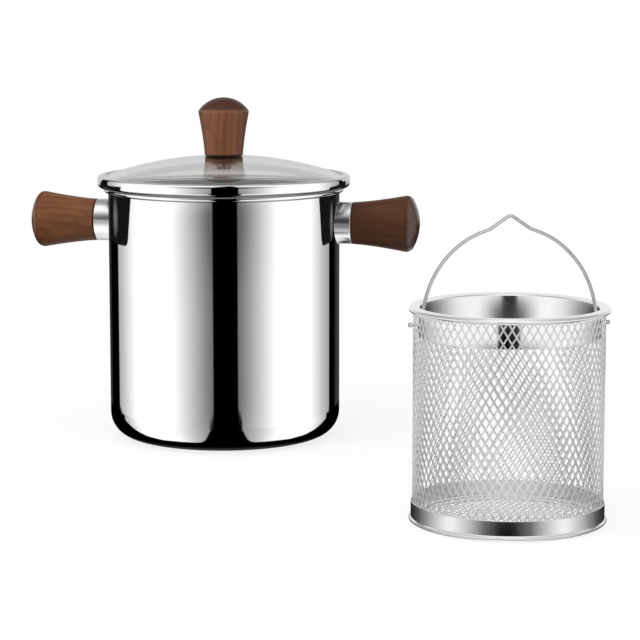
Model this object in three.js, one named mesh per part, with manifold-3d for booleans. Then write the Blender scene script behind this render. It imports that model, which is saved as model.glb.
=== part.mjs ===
// A deep frying pot with a glass lid, and its lift-out strainer basket, which stands beside it.
// Millimetres, +Z up. The origin is the centre of the pot's base, on the surface that both stand on.
// The pot's two side handles lie along X. The basket stands in front of the pot, to its right.

import * as THREE from "three";
import { mergeVertices } from "three/addons/utils/BufferGeometryUtils.js";
import Module from "manifold-3d";

const wasm = await Module();
wasm.setup();

// Clearances and counts that the pieces share
const weldGap = 0.3; // between pieces that are welded, clamped or crimped together
const seatGap = 0.15; // between flat faces that a screw pulls together
const threadGap = 0.3; // round a thread, and round an insert in its hole
const overrun = 2; // how far a cut runs past what it cuts
const turnSteps = 40; // sides of the large turned pieces
const gripSteps = 24; // sides of the turned wood and its ferrules
const smallSteps = 12; // sides of the small fastenings
const wireSides = 6;
const quarterTurn = Math.PI / 2;

// Pot body: one drawn shell with a rolled bead at its rim
const potRadius = 80;
const potWall = 1;
const potFloor = 2;
const potCorner = 17.5; // outside radius between wall and base
const beadHeight = 172; // of the middle of the bead above the base
const beadRadius = 1.5;
const beadReach = 2.8; // how far the bead stands out from the wall
const lipRadius = 1.2; // inside edge of the rim

// Side handles: a steel ferrule on the wall, and a turned wood grip drawn against it by a stud
const handleDrop = 22.5; // from the middle of the bead down to the handles' axis
const handleHeight = beadHeight - handleDrop;
const ferruleRadius = 14.5;
const ferruleWall = 1.2;
const ferrulePlate = 1.5; // the flat end that the grip seats on
const ferruleReach = 9.7; // from the pot's wall to the flat end
const studRadius = 3;
const studFootRadius = 8;
const studFoot = 2;
const studEngagement = 20; // how far the stud goes into the grip
const studChamfer = 0.8;
const insertWall = 1.7; // brass round the thread
const insertLength = 17;
const insertSink = 1; // below the grip's seat
const tipRoom = 3; // past the end of a stud or screw

// Turned wood: a neck that flares to its widest, a soft edge and a domed end
const gripNeck = 14.5;
const gripWidest = 19.4;
const gripEdge = 2.4;
const gripCrown = 28;
const gripLength = 46.3;
const knobNeck = 13.3;
const knobWidest = 17.5;
const knobEdge = 2;
const knobCrown = 21;
const knobLength = 39.7;
const neckChamfer = 0.5;
const flarePowerShare = 1.4; // how late the flare sets in

// Lid: a domed glass crimped into a steel band that sits on the pot's bead
const bandOverhang = 7.3; // how far the band stands out past the pot's wall
const bandRadius = potRadius + bandOverhang;
const bandSheet = 0.7;
const bandBase = 1.8; // the folded sheet that lies on the bead
const bandTall = 8.6; // from the bead to the top of the band
const bandTopRound = 2.3;
const bandLowRound = 2.8;
const bandGrip = 3.7; // how far the crimp covers the glass
const skirtSheet = 0.6;
const skirtDepth = 6.3; // below the top of the bead
const skirtPlay = 0.8; // between the skirt and the inside of the pot
const glassDome = 250; // radius of the dome
const glassThickness = 4;
const glassEdgeGap = 0.5;
const glassHole = 4.2;
const glassSeat = 14; // radius of the flat middle, above and below

// Knob fastening through the glass
const screwRadius = 2.5;
const screwHeadRadius = 5;
const screwHead = 2.6;
const screwEngagement = 12; // how far the screw goes into the knob
const washerRadius = 7.5;
const washerThickness = 1;
const lowerGasketRadius = 9;
const lowerGasketThickness = 1.2;
const upperGasketRadius = 12.6;
const upperGasketThickness = 0.5;
const knobInsertLength = 14;
const knobInsertWall = 1.5;

// Where the basket stands, and how far it is turned about its own axis
const basketX = 213.2;
const basketY = -242.7;
const basketTurn = THREE.MathUtils.degToRad(14);

// Basket wall: expanded metal between a folded rim above and a plain band below
const netRadius = 56.4;
const netThickness = 0.7;
const netStrand = 1.7;
const netColumns = 20; // openings round the wall
const netRows = 8; // half openings up the wall
const netHem = 1.2; // plain edge above the openings
const netLowHem = 5.6; // plain edge behind the base band
const netTuck = 2; // how far the base band covers the lowest openings
const netTopDrop = 3.3; // from the top of the rim down to where the openings end

// Basket rim: one folded sheet, a wide rolled lip outside and a polished collar inside
const rimOverhang = 3; // how far the lip stands out past the net
const collarInset = 3.4; // from the outside of the net in to the collar's opening
const rimRadius = netRadius + rimOverhang;
const rimOpening = netRadius - collarInset;
const rimTop = 128.3;
const rimTall = 3.6;
const rimSheet = 0.6;
const rimOuterRound = 1.8;
const rimInnerRound = 1.2;
const lipReturn = 1; // how far the lip turns back under
const pinDrop = 11; // from the top of the rim down to the bail's pins
const collarBelowPins = 7.3;

// Basket base: a band round the net, a curled foot, the net floor and the ring that clamps it
const baseBandSheet = 0.5;
const baseBandTop = 12;
const footOverhang = 2; // how far the foot stands out past the net
const footFlange = 4; // how far the flange reaches in from the net
const footTall = 2.8;
const footSheet = 0.7;
const floorThickness = 0.7;
const floorStrand = 1.6;
const floorCellWide = 12;
const floorCellLong = 19.7;
const floorHem = 4;
const clampRingWide = 3.2;
const clampRingTall = 1.4;
const clampRingRound = 0.5;

// Bail: one bent wire whose ends turn out through the collar and the net
const wireRadius = 1;
const pinHeight = rimTop - pinDrop;
const pinPlay = 0.4;
const pinStandout = 3.4; // how far a pin stands out past the net
const pinReach = netRadius + pinStandout;
const pinHeadRadius = 1.35;
const pinHead = 2.2;
const bailPlay = 0.4; // between the bail's legs and the collar
const bailHalfWidth = rimOpening - bailPlay - wireRadius;
const bailArch = 57; // height of the arch's own ellipse above the pins
const bailRise = 63.5; // height of the pointed middle above the pins
const kinkHalfWidth = 12.4;
const bailBend = 2;

// Finishes
const polishedSteel = new THREE.MeshStandardMaterial({ color: 0xd4d6d8, roughness: 0.08, metalness: 1 });
const brightWire = new THREE.MeshStandardMaterial({ color: 0xcfd1d2, roughness: 0.28, metalness: 1 });
const plainSteel = new THREE.MeshStandardMaterial({ color: 0xb9bbbd, roughness: 0.35, metalness: 1 });
const brass = new THREE.MeshStandardMaterial({ color: 0xc9a55a, roughness: 0.35, metalness: 1 });
const darkWood = new THREE.MeshStandardMaterial({ color: 0x6c4833, roughness: 0.45, metalness: 0 });
const silicone = new THREE.MeshStandardMaterial({ color: 0x2a2522, roughness: 0.6, metalness: 0 });
const clearGlass = new THREE.MeshStandardMaterial({
  color: 0xe6ecec,
  roughness: 0.03,
  metalness: 0,
  transparent: true,
  opacity: 0.35,
});

const wholeTurn = 2 * Math.PI;
const potInner = potRadius - potWall;
const beadTop = beadHeight + beadRadius;

// Points [across, along] of an arc about a centre, from one angle to another, ends included.
function arc(across, along, radius, from, to, steps) {
  return Array.from({ length: steps + 1 }, (_, i) => {
    const angle = from + ((to - from) * i) / steps;
    return [across + radius * Math.cos(angle), along + radius * Math.sin(angle)];
  });
}

// A profile of [radius, height] turned about Z. It starts and ends on the axis, or closes on itself.
function turned(profile, steps) {
  const points = profile.map(([radius, height]) => new THREE.Vector2(radius, height));
  return new THREE.LatheGeometry(points, steps).rotateX(quarterTurn);
}

// A ring section: the same as turned, with the last point joined to the first.
function ring(profile, steps) {
  return turned([...profile, profile[0]], steps);
}

// A three.js geometry as a solid that can be cut and joined.
function solidOf(geometry) {
  const bare = new THREE.BufferGeometry();
  bare.setAttribute("position", geometry.getAttribute("position"));
  bare.setIndex(geometry.getIndex());
  const merged = mergeVertices(bare);
  return new wasm.Manifold(
    new wasm.Mesh({
      numProp: 3,
      vertProperties: merged.attributes.position.array,
      triVerts: new Uint32Array(merged.index.array),
    }),
  );
}

// A solid back as a three.js geometry.
function geometryOf(solid) {
  const { vertProperties, triVerts } = solid.getMesh();
  const geometry = new THREE.BufferGeometry();
  geometry.setAttribute("position", new THREE.BufferAttribute(vertProperties, 3));
  geometry.setIndex(new THREE.BufferAttribute(triVerts, 1));
  return geometry;
}

function addPiece(parent, name, geometry, material) {
  const mesh = new THREE.Mesh(geometry, material);
  mesh.name = name;
  parent.add(mesh);
}

// The pot: out along the base, up the wall, round the bead and down the inside.
function potShell() {
  const innerCorner = potCorner - potFloor;
  const beadCentre = potRadius + beadReach - beadRadius;
  const meetsWall = -Math.PI + Math.acos((beadReach - beadRadius) / beadRadius);
  return turned(
    [
      [0, 0],
      ...arc(potRadius - potCorner, potCorner, potCorner, -quarterTurn, 0, 5),
      ...arc(beadCentre, beadHeight, beadRadius, meetsWall, quarterTurn, 5),
      ...arc(potInner + lipRadius, beadTop - lipRadius, lipRadius, quarterTurn, 2 * quarterTurn, 1),
      ...arc(potInner - innerCorner, potCorner, innerCorner, 0, -quarterTurn, 4),
      [0, potFloor],
    ],
    turnSteps,
  );
}

// The wood's outline from the neck to the tip, as [radius, distance from the seat].
// The soft edge is a small arc that runs into the flare on one side and the dome on the other.
function woodOutline({ neck, widest, edge, crown, length }) {
  const edgeRadius = widest - edge;
  const domeAngle = Math.asin(edgeRadius / (crown - edge));
  const edgeAlong = length - crown + (crown - edge) * Math.cos(domeAngle);
  const flareShares = [0.25, 0.5, 0.75];
  const flare = flareShares.map((share) => [
    neck + (widest - neck) * share ** flarePowerShare,
    edgeAlong * share,
  ]);
  const toDome = quarterTurn - domeAngle;
  return [
    [neck - neckChamfer, 0],
    [neck, neckChamfer],
    ...flare,
    ...arc(edgeRadius, edgeAlong, edge, 0, toDome, 3),
    ...arc(0, length - crown, crown, toDome, quarterTurn, 4).slice(1, -1),
    [0, length],
  ];
}

// Turned wood with a stepped blind hole for its threaded insert and the tip of what screws in.
function turnedWood(outline, insertRadius, holeDepth, tipRadius, tipDepth) {
  const hole = insertRadius + threadGap;
  const tip = tipRadius + threadGap;
  return turned(
    [[0, tipDepth], [tip, tipDepth], [tip, holeDepth], [hole, holeDepth], [hole, 0], ...outline],
    gripSteps,
  );
}

// A brass sleeve with a thread inside, sunk below the seat of the wood.
function threadedInsert(threadRadius, wall, sink, length) {
  const bore = threadRadius + threadGap;
  const outer = bore + wall;
  return ring([[bore, sink], [outer, sink], [outer, sink + length], [bore, sink + length]], smallSteps);
}

// Both handles are the same group, the left one turned half round.
function sideHandle(side, turn) {
  const group = new THREE.Group();
  group.position.z = handleHeight;
  group.rotation.z = turn;
  const seat = potRadius + ferruleReach + weldGap;
  const plateOut = seat - weldGap;
  const innerStart = potInner - overrun;
  const plateHole = studRadius + threadGap;
  const wallCut = solidOf(
    turned(
      [
        [0, -ferruleRadius - overrun],
        [potRadius + weldGap, -ferruleRadius - overrun],
        [potRadius + weldGap, ferruleRadius + overrun],
        [0, ferruleRadius + overrun],
      ],
      turnSteps,
    ),
  );

  const sleeve = ring(
    [
      [ferruleRadius, innerStart],
      [ferruleRadius, plateOut],
      [plateHole, plateOut],
      [plateHole, plateOut - ferrulePlate],
      [ferruleRadius - ferruleWall, plateOut - ferrulePlate],
      [ferruleRadius - ferruleWall, innerStart],
    ],
    gripSteps,
  ).rotateY(quarterTurn);
  addPiece(group, `${side}_ferrule`, geometryOf(solidOf(sleeve).subtract(wallCut)), polishedSteel);

  const studEnd = seat + studEngagement;
  const footTop = potRadius + weldGap + studFoot;
  const stud = turned(
    [
      [0, innerStart],
      [studFootRadius, innerStart],
      [studFootRadius, footTop],
      [studRadius, footTop],
      [studRadius, studEnd - studChamfer],
      [studRadius - studChamfer, studEnd],
      [0, studEnd],
    ],
    smallSteps,
  ).rotateY(quarterTurn);
  addPiece(group, `${side}_stud`, geometryOf(solidOf(stud).subtract(wallCut)), plainSteel);

  const insert = threadedInsert(studRadius, insertWall, insertSink, insertLength);
  addPiece(group, `${side}_insert`, insert.translate(0, 0, seat).rotateY(quarterTurn), brass);

  const grip = turnedWood(
    woodOutline({
      neck: gripNeck,
      widest: gripWidest,
      edge: gripEdge,
      crown: gripCrown,
      length: gripLength,
    }),
    studRadius + threadGap + insertWall,
    insertSink + insertLength + threadGap,
    studRadius,
    studEngagement + tipRoom,
  );
  addPiece(group, `${side}_grip`, grip.translate(0, 0, seat).rotateY(quarterTurn), darkWood);
  return group;
}

// Depth of the dome below its flat seat at a radius. The seat is the dome's middle cut flat.
function domeDrop(radius, dome) {
  const flat = Math.sqrt(dome ** 2 - glassSeat ** 2);
  return Math.max(0, flat - Math.sqrt(dome ** 2 - radius ** 2));
}

// The band's crimp starts above the glass, whose top height follows from the band.
const bandLow = beadTop + weldGap;
const glassEdge = bandRadius - bandSheet - glassEdgeGap;
const glassEdgeLow = bandLow + bandBase + weldGap;
const glassInnerDome = glassDome - glassThickness;
const glassTop = glassEdgeLow + glassThickness + domeDrop(glassEdge, glassDome);
const glassUnder = glassTop - glassThickness;
const knobBase = glassTop + 2 * seatGap + upperGasketThickness;

function lidGlass() {
  const shares = [0, 0.3, 0.65, 1];
  const radii = shares.map((share) => glassSeat + (glassEdge - glassSeat) * share);
  const under = radii.map((radius) => [radius, glassUnder - domeDrop(radius, glassDome)]);
  const top = radii.map((radius) => [radius, glassTop - domeDrop(radius, glassDome)]).reverse();
  return ring([[glassHole, glassUnder], ...under, ...top, [glassHole, glassTop]], turnSteps);
}

// The band: a skirt inside the pot, a folded base on the bead, an outer wall and a crimp over the glass.
function lidBand() {
  const skirt = potInner - skirtPlay;
  const skirtLow = beadTop - skirtDepth;
  const inside = bandRadius - bandSheet;
  const bandTop = beadTop + bandTall;
  const crimpRadius = glassEdge - bandGrip;
  const crimpLow = glassTop - domeDrop(crimpRadius, glassDome) + weldGap;
  const innerRound = bandTopRound - bandSheet;
  return ring(
    [
      [skirt, skirtLow],
      [skirt, bandLow],
      ...arc(bandRadius - bandLowRound, bandLow + bandLowRound, bandLowRound, -quarterTurn, 0, 2),
      ...arc(bandRadius - bandTopRound, bandTop - bandTopRound, bandTopRound, 0, quarterTurn, 2),
      [crimpRadius, crimpLow + bandSheet],
      [crimpRadius, crimpLow],
      ...arc(bandRadius - bandTopRound, bandTop - bandTopRound, innerRound, quarterTurn, 0, 1),
      [inside, bandLow + bandBase],
      [skirt - skirtSheet, bandLow + bandBase],
      [skirt - skirtSheet, skirtLow],
    ],
    turnSteps,
  );
}

// A flat ring: washer or gasket.
function flatRing(bore, radius, low, thickness) {
  return ring([[bore, low], [radius, low], [radius, low + thickness], [bore, low + thickness]], smallSteps);
}

function lidGroup() {
  const group = new THREE.Group();
  addPiece(group, "lid_glass", lidGlass(), clearGlass);
  addPiece(group, "lid_band", lidBand(), polishedSteel);

  const bore = screwRadius + threadGap;
  const upperLow = glassTop + seatGap;
  const lowerLow = glassUnder - seatGap - lowerGasketThickness;
  const washerLow = lowerLow - seatGap - washerThickness;
  const upperGasket = flatRing(bore, upperGasketRadius, upperLow, upperGasketThickness);
  const lowerGasket = flatRing(bore, lowerGasketRadius, lowerLow, lowerGasketThickness);
  addPiece(group, "upper_gasket", upperGasket, silicone);
  addPiece(group, "lower_gasket", lowerGasket, silicone);
  addPiece(group, "knob_washer", flatRing(bore, washerRadius, washerLow, washerThickness), plainSteel);

  const headTop = washerLow - seatGap;
  const screwEnd = knobBase + screwEngagement;
  const screw = turned(
    [
      [0, headTop - screwHead],
      [screwHeadRadius - studChamfer, headTop - screwHead],
      [screwHeadRadius, headTop - screwHead + studChamfer],
      [screwHeadRadius, headTop],
      [screwRadius, headTop],
      [screwRadius, screwEnd - studChamfer],
      [screwRadius - studChamfer, screwEnd],
      [0, screwEnd],
    ],
    smallSteps,
  );
  addPiece(group, "knob_screw", screw, plainSteel);

  const insert = threadedInsert(screwRadius, knobInsertWall, insertSink, knobInsertLength);
  addPiece(group, "knob_insert", insert.translate(0, 0, knobBase), brass);

  const knob = turnedWood(
    woodOutline({
      neck: knobNeck,
      widest: knobWidest,
      edge: knobEdge,
      crown: knobCrown,
      length: knobLength,
    }),
    screwRadius + threadGap + knobInsertWall,
    insertSink + knobInsertLength + threadGap,
    screwRadius,
    insertSink + knobInsertLength + threadGap + tipRoom,
  );
  addPiece(group, "lid_knob", knob.translate(0, 0, knobBase), darkWood);
  return group;
}

// Triangles and quads gathered as loose corners, each listed anticlockwise from outside.
class FaceList {
  constructor() {
    this.corners = [];
  }

  triangle(a, b, c) {
    this.corners.push(...a, ...b, ...c);
  }

  quad(a, b, c, d) {
    this.triangle(a, b, c);
    this.triangle(a, c, d);
  }

  geometry() {
    const geometry = new THREE.BufferGeometry();
    geometry.setAttribute("position", new THREE.Float32BufferAttribute(this.corners, 3));
    return mergeVertices(geometry);
  }
}

const netFoot = baseBandTop - netTuck;
const netTop = rimTop - netTopDrop;

// The expanded-metal wall. Lattice points lie on half columns and half rows. Every opening is a diamond
// between four of them, drawn in by half a strand, and the top and bottom rows hold half diamonds.
function netWall() {
  const faces = new FaceList();
  const halfColumns = 2 * netColumns;
  const rowHeight = (netTop - netFoot) / netRows;
  const halfWidth = (netRadius * wholeTurn) / halfColumns;
  const inset = (netStrand / 2) * (Math.hypot(halfWidth, rowHeight) / (halfWidth * rowHeight));
  const openShare = 1 - inset;
  const height = (row) => netFoot + row * rowHeight;
  const point = (column, z, radius) => {
    const angle = (column / halfColumns) * wholeTurn;
    return [radius * Math.cos(angle), radius * Math.sin(angle), z];
  };
  const inner = netRadius - netThickness;

  // One opening: faces between its outline and its hole, outside and inside, and the hole's own wall.
  function opening(outline) {
    const count = outline.length;
    const middle = [0, 1].map((k) => outline.reduce((sum, corner) => sum + corner[k], 0) / count);
    const hole = outline.map((corner) => corner.map((v, k) => middle[k] + (v - middle[k]) * openShare));
    for (let i = 0; i < count; i += 1) {
      const next = (i + 1) % count;
      const outer = [outline[i], outline[next], hole[next], hole[i]];
      const out = outer.map(([column, z]) => point(column, z, netRadius));
      const back = outer.map(([column, z]) => point(column, z, inner));
      faces.quad(...out);
      faces.quad(back[3], back[2], back[1], back[0]);
      faces.quad(out[3], out[2], back[2], back[3]);
    }
  }

  // A plain hem from the lattice's edge to a free edge, closed at that edge.
  function hem(column, edge, free, isTop) {
    const [low, high] = isTop ? [edge, free] : [free, edge];
    const left = column - 1;
    const right = column + 1;
    const quadAt = (radius) => [
      point(left, low, radius),
      point(right, low, radius),
      point(right, high, radius),
      point(left, high, radius),
    ];
    const out = quadAt(netRadius);
    const back = quadAt(inner);
    faces.quad(...out);
    faces.quad(back[3], back[2], back[1], back[0]);
    if (isTop) faces.quad(out[3], out[2], back[2], back[3]);
    else faces.quad(out[1], out[0], back[0], back[1]);
  }

  for (let row = 0; row <= netRows; row += 1) {
    // Whole openings of the row below the top one lie over the pins, at the first column.
    const first = (netRows - 1 - row) % 2 === 0 ? 0 : 1;
    for (let i = 0; i < netColumns; i += 1) {
      const column = first + 2 * i;
      const left = [column - 1, height(row)];
      const right = [column + 1, height(row)];
      const below = [column, height(row - 1)];
      const above = [column, height(row + 1)];
      if (row === 0) {
        opening([left, right, above]);
        hem(column, netFoot, netFoot - netLowHem, false);
      } else if (row === netRows) {
        opening([left, below, right]);
        hem(column, netTop, netTop + netHem, true);
      } else {
        opening([left, below, right, above]);
      }
    }
  }
  return faces.geometry();
}

// The rim: up the collar, over the lip and under it, and back along the inside of the fold.
// Two holes let the bail's pins through the collar.
function rimCollar() {
  const collarLow = pinHeight - collarBelowPins;
  const lipLow = rimTop - rimTall;
  const lipRound = rimTall / 2;
  const outerCentre = rimRadius - rimOuterRound;
  const innerCentre = rimOpening + rimInnerRound;
  const fold = ring(
    [
      [rimOpening + rimSheet, collarLow],
      [rimOpening + rimSheet, rimTop - rimInnerRound],
      ...arc(innerCentre, rimTop - rimInnerRound, rimInnerRound - rimSheet, 2 * quarterTurn, quarterTurn, 1),
      ...arc(outerCentre, rimTop - lipRound, lipRound - rimSheet, quarterTurn, -quarterTurn, 2),
      [outerCentre - lipReturn, lipLow + rimSheet],
      [outerCentre - lipReturn, lipLow],
      ...arc(outerCentre, rimTop - lipRound, lipRound, -quarterTurn, quarterTurn, 4),
      ...arc(innerCentre, rimTop - rimInnerRound, rimInnerRound, quarterTurn, 2 * quarterTurn, 2),
      [rimOpening, collarLow],
    ],
    turnSteps,
  );
  const holeRadius = wireRadius + pinPlay;
  const holeSpan = rimRadius + overrun;
  const pinHoles = turned(
    [[0, -holeSpan], [holeRadius, -holeSpan], [holeRadius, holeSpan], [0, holeSpan]],
    smallSteps,
  );
  pinHoles.rotateY(quarterTurn).translate(0, 0, pinHeight);
  return geometryOf(solidOf(fold).subtract(solidOf(pinHoles)));
}

// The base: a thin band round the net's hem, a foot that curls out below it, and a flange under the floor.
function baseBand() {
  const inside = netRadius + weldGap;
  const outside = inside + baseBandSheet;
  const footRound = footTall / 2;
  const footCentre = netRadius + footOverhang - footRound;
  const footInner = netRadius - footFlange;
  return ring(
    [
      [footInner, 0],
      ...arc(footCentre, footRound, footRound, -quarterTurn, quarterTurn, 4),
      [outside, footTall + baseBandSheet],
      [outside, baseBandTop],
      [inside, baseBandTop],
      [inside, footSheet],
      [footInner, footSheet],
    ],
    turnSteps,
  );
}

const floorLow = footSheet + weldGap;
// The net's plain hem runs straight between its columns, so the floor fits inside those straights.
const hemInside = (netRadius - netThickness) * Math.cos(Math.PI / netColumns);
const floorRadius = hemInside - weldGap;

// The net floor: a disc with diamond openings, the outer ones cut short by its plain edge.
function netFloor() {
  const floorHigh = floorLow + floorThickness;
  const disc = solidOf(
    turned([[0, floorLow], [floorRadius, floorLow], [floorRadius, floorHigh], [0, floorHigh]], turnSteps),
  );
  const cutRadius = floorRadius - floorHem;
  const field = solidOf(
    turned(
      [[0, -overrun], [cutRadius, -overrun], [cutRadius, footTall + overrun], [0, footTall + overrun]],
      turnSteps,
    ),
  );
  const half = floorCellWide / 2;
  const long = floorCellLong / 2;
  const openShare = 1 - (floorStrand / 2) * (Math.hypot(half, long) / (half * long));
  const diamond = new THREE.Shape([
    new THREE.Vector2(half * openShare, 0),
    new THREE.Vector2(0, long * openShare),
    new THREE.Vector2(-half * openShare, 0),
    new THREE.Vector2(0, -long * openShare),
  ]);
  const holes = [];
  const across = Math.ceil(cutRadius / half);
  const along = Math.ceil(cutRadius / long);
  for (let i = -across; i <= across; i += 1) {
    for (let j = -along; j <= along; j += 1) {
      const x = i * half;
      const y = j * long;
      const inside = Math.hypot(x, y) < cutRadius;
      if ((i + j) % 2 === 0 && inside) {
        const hole = new THREE.ExtrudeGeometry(diamond, { depth: footTall, bevelEnabled: false });
        holes.push(solidOf(hole.translate(x, y, 0)));
      }
    }
  }
  return geometryOf(disc.subtract(wasm.Manifold.union(holes).intersect(field)));
}

// The ring that lies on the floor's plain edge, with its upper edges rounded.
function clampRing() {
  const low = floorLow + floorThickness + weldGap;
  const high = low + clampRingTall;
  const inner = floorRadius - clampRingWide;
  return ring(
    [
      [inner, low],
      [floorRadius, low],
      ...arc(floorRadius - clampRingRound, high - clampRingRound, clampRingRound, 0, quarterTurn, 1),
      ...arc(inner + clampRingRound, high - clampRingRound, clampRingRound, quarterTurn, 2 * quarterTurn, 1),
    ],
    turnSteps,
  );
}

// A route whose steps are the given points, however unevenly they lie.
class PointRoute extends THREE.Curve {
  constructor(points) {
    super();
    this.points = points;
  }

  getUtoTmapping(u) {
    return u;
  }

  getPoint(t, target = new THREE.Vector3()) {
    const along = t * (this.points.length - 1);
    const before = Math.min(Math.floor(along), this.points.length - 2);
    return target.lerpVectors(this.points[before], this.points[before + 1], along - before);
  }
}

// Half of the bail, from the end of a pin to just short of the top, as [across, height above the pins].
// The pin turns up in a tight bend, the arch is part of an ellipse, and past a kink it rises to a point.
function bailHalf() {
  const pinMiddle = (pinReach + bailHalfWidth + bailBend) / 2;
  const firstAngle = Math.asin(bailBend / bailArch);
  const lastAngle = Math.acos(kinkHalfWidth / bailHalfWidth);
  const archSteps = 14;
  const arch = Array.from({ length: archSteps }, (_, i) => {
    const angle = firstAngle + ((lastAngle - firstAngle) * i) / archSteps;
    return [bailHalfWidth * Math.cos(angle), bailArch * Math.sin(angle)];
  });
  const kinkHeight = bailArch * Math.sin(lastAngle);
  const riseShares = [0, 0.12, 0.35, 0.6, 0.82, 0.93];
  const rise = riseShares.map((share) => [
    kinkHalfWidth * (1 - share),
    kinkHeight + (bailRise - kinkHeight) * share,
  ]);
  const bend = arc(bailHalfWidth + bailBend, bailBend, bailBend, -quarterTurn, -2 * quarterTurn, 3);
  return [[pinReach, 0], [pinMiddle, 0], ...bend.slice(0, -1), ...arch, ...rise];
}

function bailWire() {
  const half = bailHalf();
  const [, lastHeight] = half.at(-1);
  const top = [0, (lastHeight + bailRise) / 2];
  const mirrored = half.map(([x, z]) => [-x, z]).reverse();
  const points = [...half, top, ...mirrored].map(([x, z]) => new THREE.Vector3(x, 0, z));
  const section = new THREE.Shape(
    arc(0, 0, wireRadius, 0, wholeTurn, wireSides)
      .slice(1)
      .map(([x, y]) => new THREE.Vector2(x, y)),
  );
  const wire = new THREE.ExtrudeGeometry(section, {
    steps: points.length - 1,
    bevelEnabled: false,
    extrudePath: new PointRoute(points),
  });
  const heads = [1, -1].map((side) => {
    const head = turned([[0, 0], [pinHeadRadius, 0], [pinHeadRadius, pinHead], [0, pinHead]], wireSides);
    return solidOf(head.rotateY(side * quarterTurn).translate(side * (pinReach - pinHead), 0, 0));
  });
  const bail = heads.reduce((joined, head) => joined.add(head), solidOf(wire));
  return geometryOf(bail).translate(0, 0, pinHeight);
}

function basketGroup() {
  const group = new THREE.Group();
  group.position.set(basketX, basketY, 0);
  group.rotation.z = basketTurn;
  addPiece(group, "basket_rim", rimCollar(), polishedSteel);
  addPiece(group, "basket_net_wall", netWall(), brightWire);
  addPiece(group, "basket_base_band", baseBand(), polishedSteel);
  addPiece(group, "basket_net_floor", netFloor(), brightWire);
  addPiece(group, "basket_clamp_ring", clampRing(), polishedSteel);
  addPiece(group, "basket_bail", bailWire(), brightWire);
  return group;
}

const fryPot = new THREE.Group();
addPiece(fryPot, "pot_shell", potShell(), polishedSteel);
fryPot.add(sideHandle("right", 0), sideHandle("left", Math.PI), lidGroup(), basketGroup());

export default fryPot;
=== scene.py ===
"""A deep frying pot with wooden handles and a glass lid, and its expanded-metal strainer basket.

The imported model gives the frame. Every visible piece is made again here as a fine smooth surface, in metres,
in that same frame: +Z up, the pot's base centred on the origin, its side handles along X.
"""

import math

import bmesh
import bpy
import numpy as np
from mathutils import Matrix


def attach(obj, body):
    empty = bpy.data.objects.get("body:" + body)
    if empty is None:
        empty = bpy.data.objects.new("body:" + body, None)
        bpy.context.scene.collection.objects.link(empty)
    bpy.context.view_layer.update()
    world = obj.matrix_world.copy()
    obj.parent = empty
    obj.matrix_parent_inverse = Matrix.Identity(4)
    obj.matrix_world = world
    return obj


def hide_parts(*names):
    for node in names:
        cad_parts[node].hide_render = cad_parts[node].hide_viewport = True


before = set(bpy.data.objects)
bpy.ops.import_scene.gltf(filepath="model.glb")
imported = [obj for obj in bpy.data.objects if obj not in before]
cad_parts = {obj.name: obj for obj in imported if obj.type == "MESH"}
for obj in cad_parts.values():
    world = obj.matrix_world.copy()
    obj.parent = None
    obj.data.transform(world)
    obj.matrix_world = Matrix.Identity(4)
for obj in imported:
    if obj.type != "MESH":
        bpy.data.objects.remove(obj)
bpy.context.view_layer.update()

MM = 0.001
TURN = 2 * math.pi
QUARTER = math.pi / 2

# A straight step longer than LONG_STEP gets a point HOLD inside both of its ends
HOLD = 0.12
LONG_STEP = 2.5

# Columns round each kind of piece, and the angles in degrees past which an edge stays sharp
POT_COLUMNS = 384
LID_COLUMNS = 256
BASKET_COLUMNS = 192
HANDLE_COLUMNS = 96
SEAL_COLUMNS = 64
FASTENING_COLUMNS = 48
WIRE_SIDES = 16
CREASE = 35
WOOD_CREASE = 50
NET_CREASE = 60

# Sizes, in millimetres
POT_RADIUS = 80
POT_INNER = 79
POT_FLOOR = 2
POT_CORNER = 17.5
BEAD_HEIGHT = 172
BEAD_RADIUS = 1.5
BEAD_REACH = 2.8
LIP_ROUND = 0.9
BASE_HOLD = 0.6
# Painted shade lines in the pot's steel: where the bead meets the wall, and where the lid's band sits on the
# bead
POT_SEAM_SHADES = ((169.9, 171), (173.1, 175.5))
SEAM_SHADE_SOFT = 0.25

HANDLE_HEIGHT = 149.5
FERRULE_RADIUS = 14.5
FERRULE_WALL = 1.2
FERRULE_PLATE = 1.5
FERRULE_EDGE = 0.45
FERRULE_END = 89.7
FERRULE_SEAM = 0.08
STUD_HOLE = 3.3
STUD_RADIUS = 3
STUD_FOOT_RADIUS = 8
STUD_FOOT = 2
STUD_SEAM = 0.3
STUD_END = 110
STUD_CHAMFER = 0.8
SCREW_HOLE = 2.8
INSERT_SINK = 1
GRIP_INSERT = {"bore": STUD_HOLE, "radius": 5, "length": 17}
KNOB_INSERT = {"bore": SCREW_HOLE, "radius": 4.3, "length": 14}
GRIP_SEAT = 90

GRIP = {"neck": 14.5, "widest": 19.4, "edge": 5.6, "crown": 34, "length": 46.3}
GRIP_HOLE = {"insert": 5.3, "insert_depth": 18.3, "tip": 3.3, "tip_depth": 23}
KNOB = {"neck": 13.3, "widest": 17.5, "edge": 2, "crown": 21, "length": 39.7}
KNOB_HOLE = {"insert": 4.6, "insert_depth": 15.3, "tip": 2.8, "tip_depth": 18.3}
NECK_CHAMFER = 0.5
FLARE_POWER = 1.4
KNOB_BASE = 195.6
GRIP_DOME_ALONG = 38.8
KNOB_DOME_ALONG = 31
WOOD_PALE = (0.305, 0.119, 0.051)
WOOD_DARK = (0.185, 0.067, 0.027)
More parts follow.
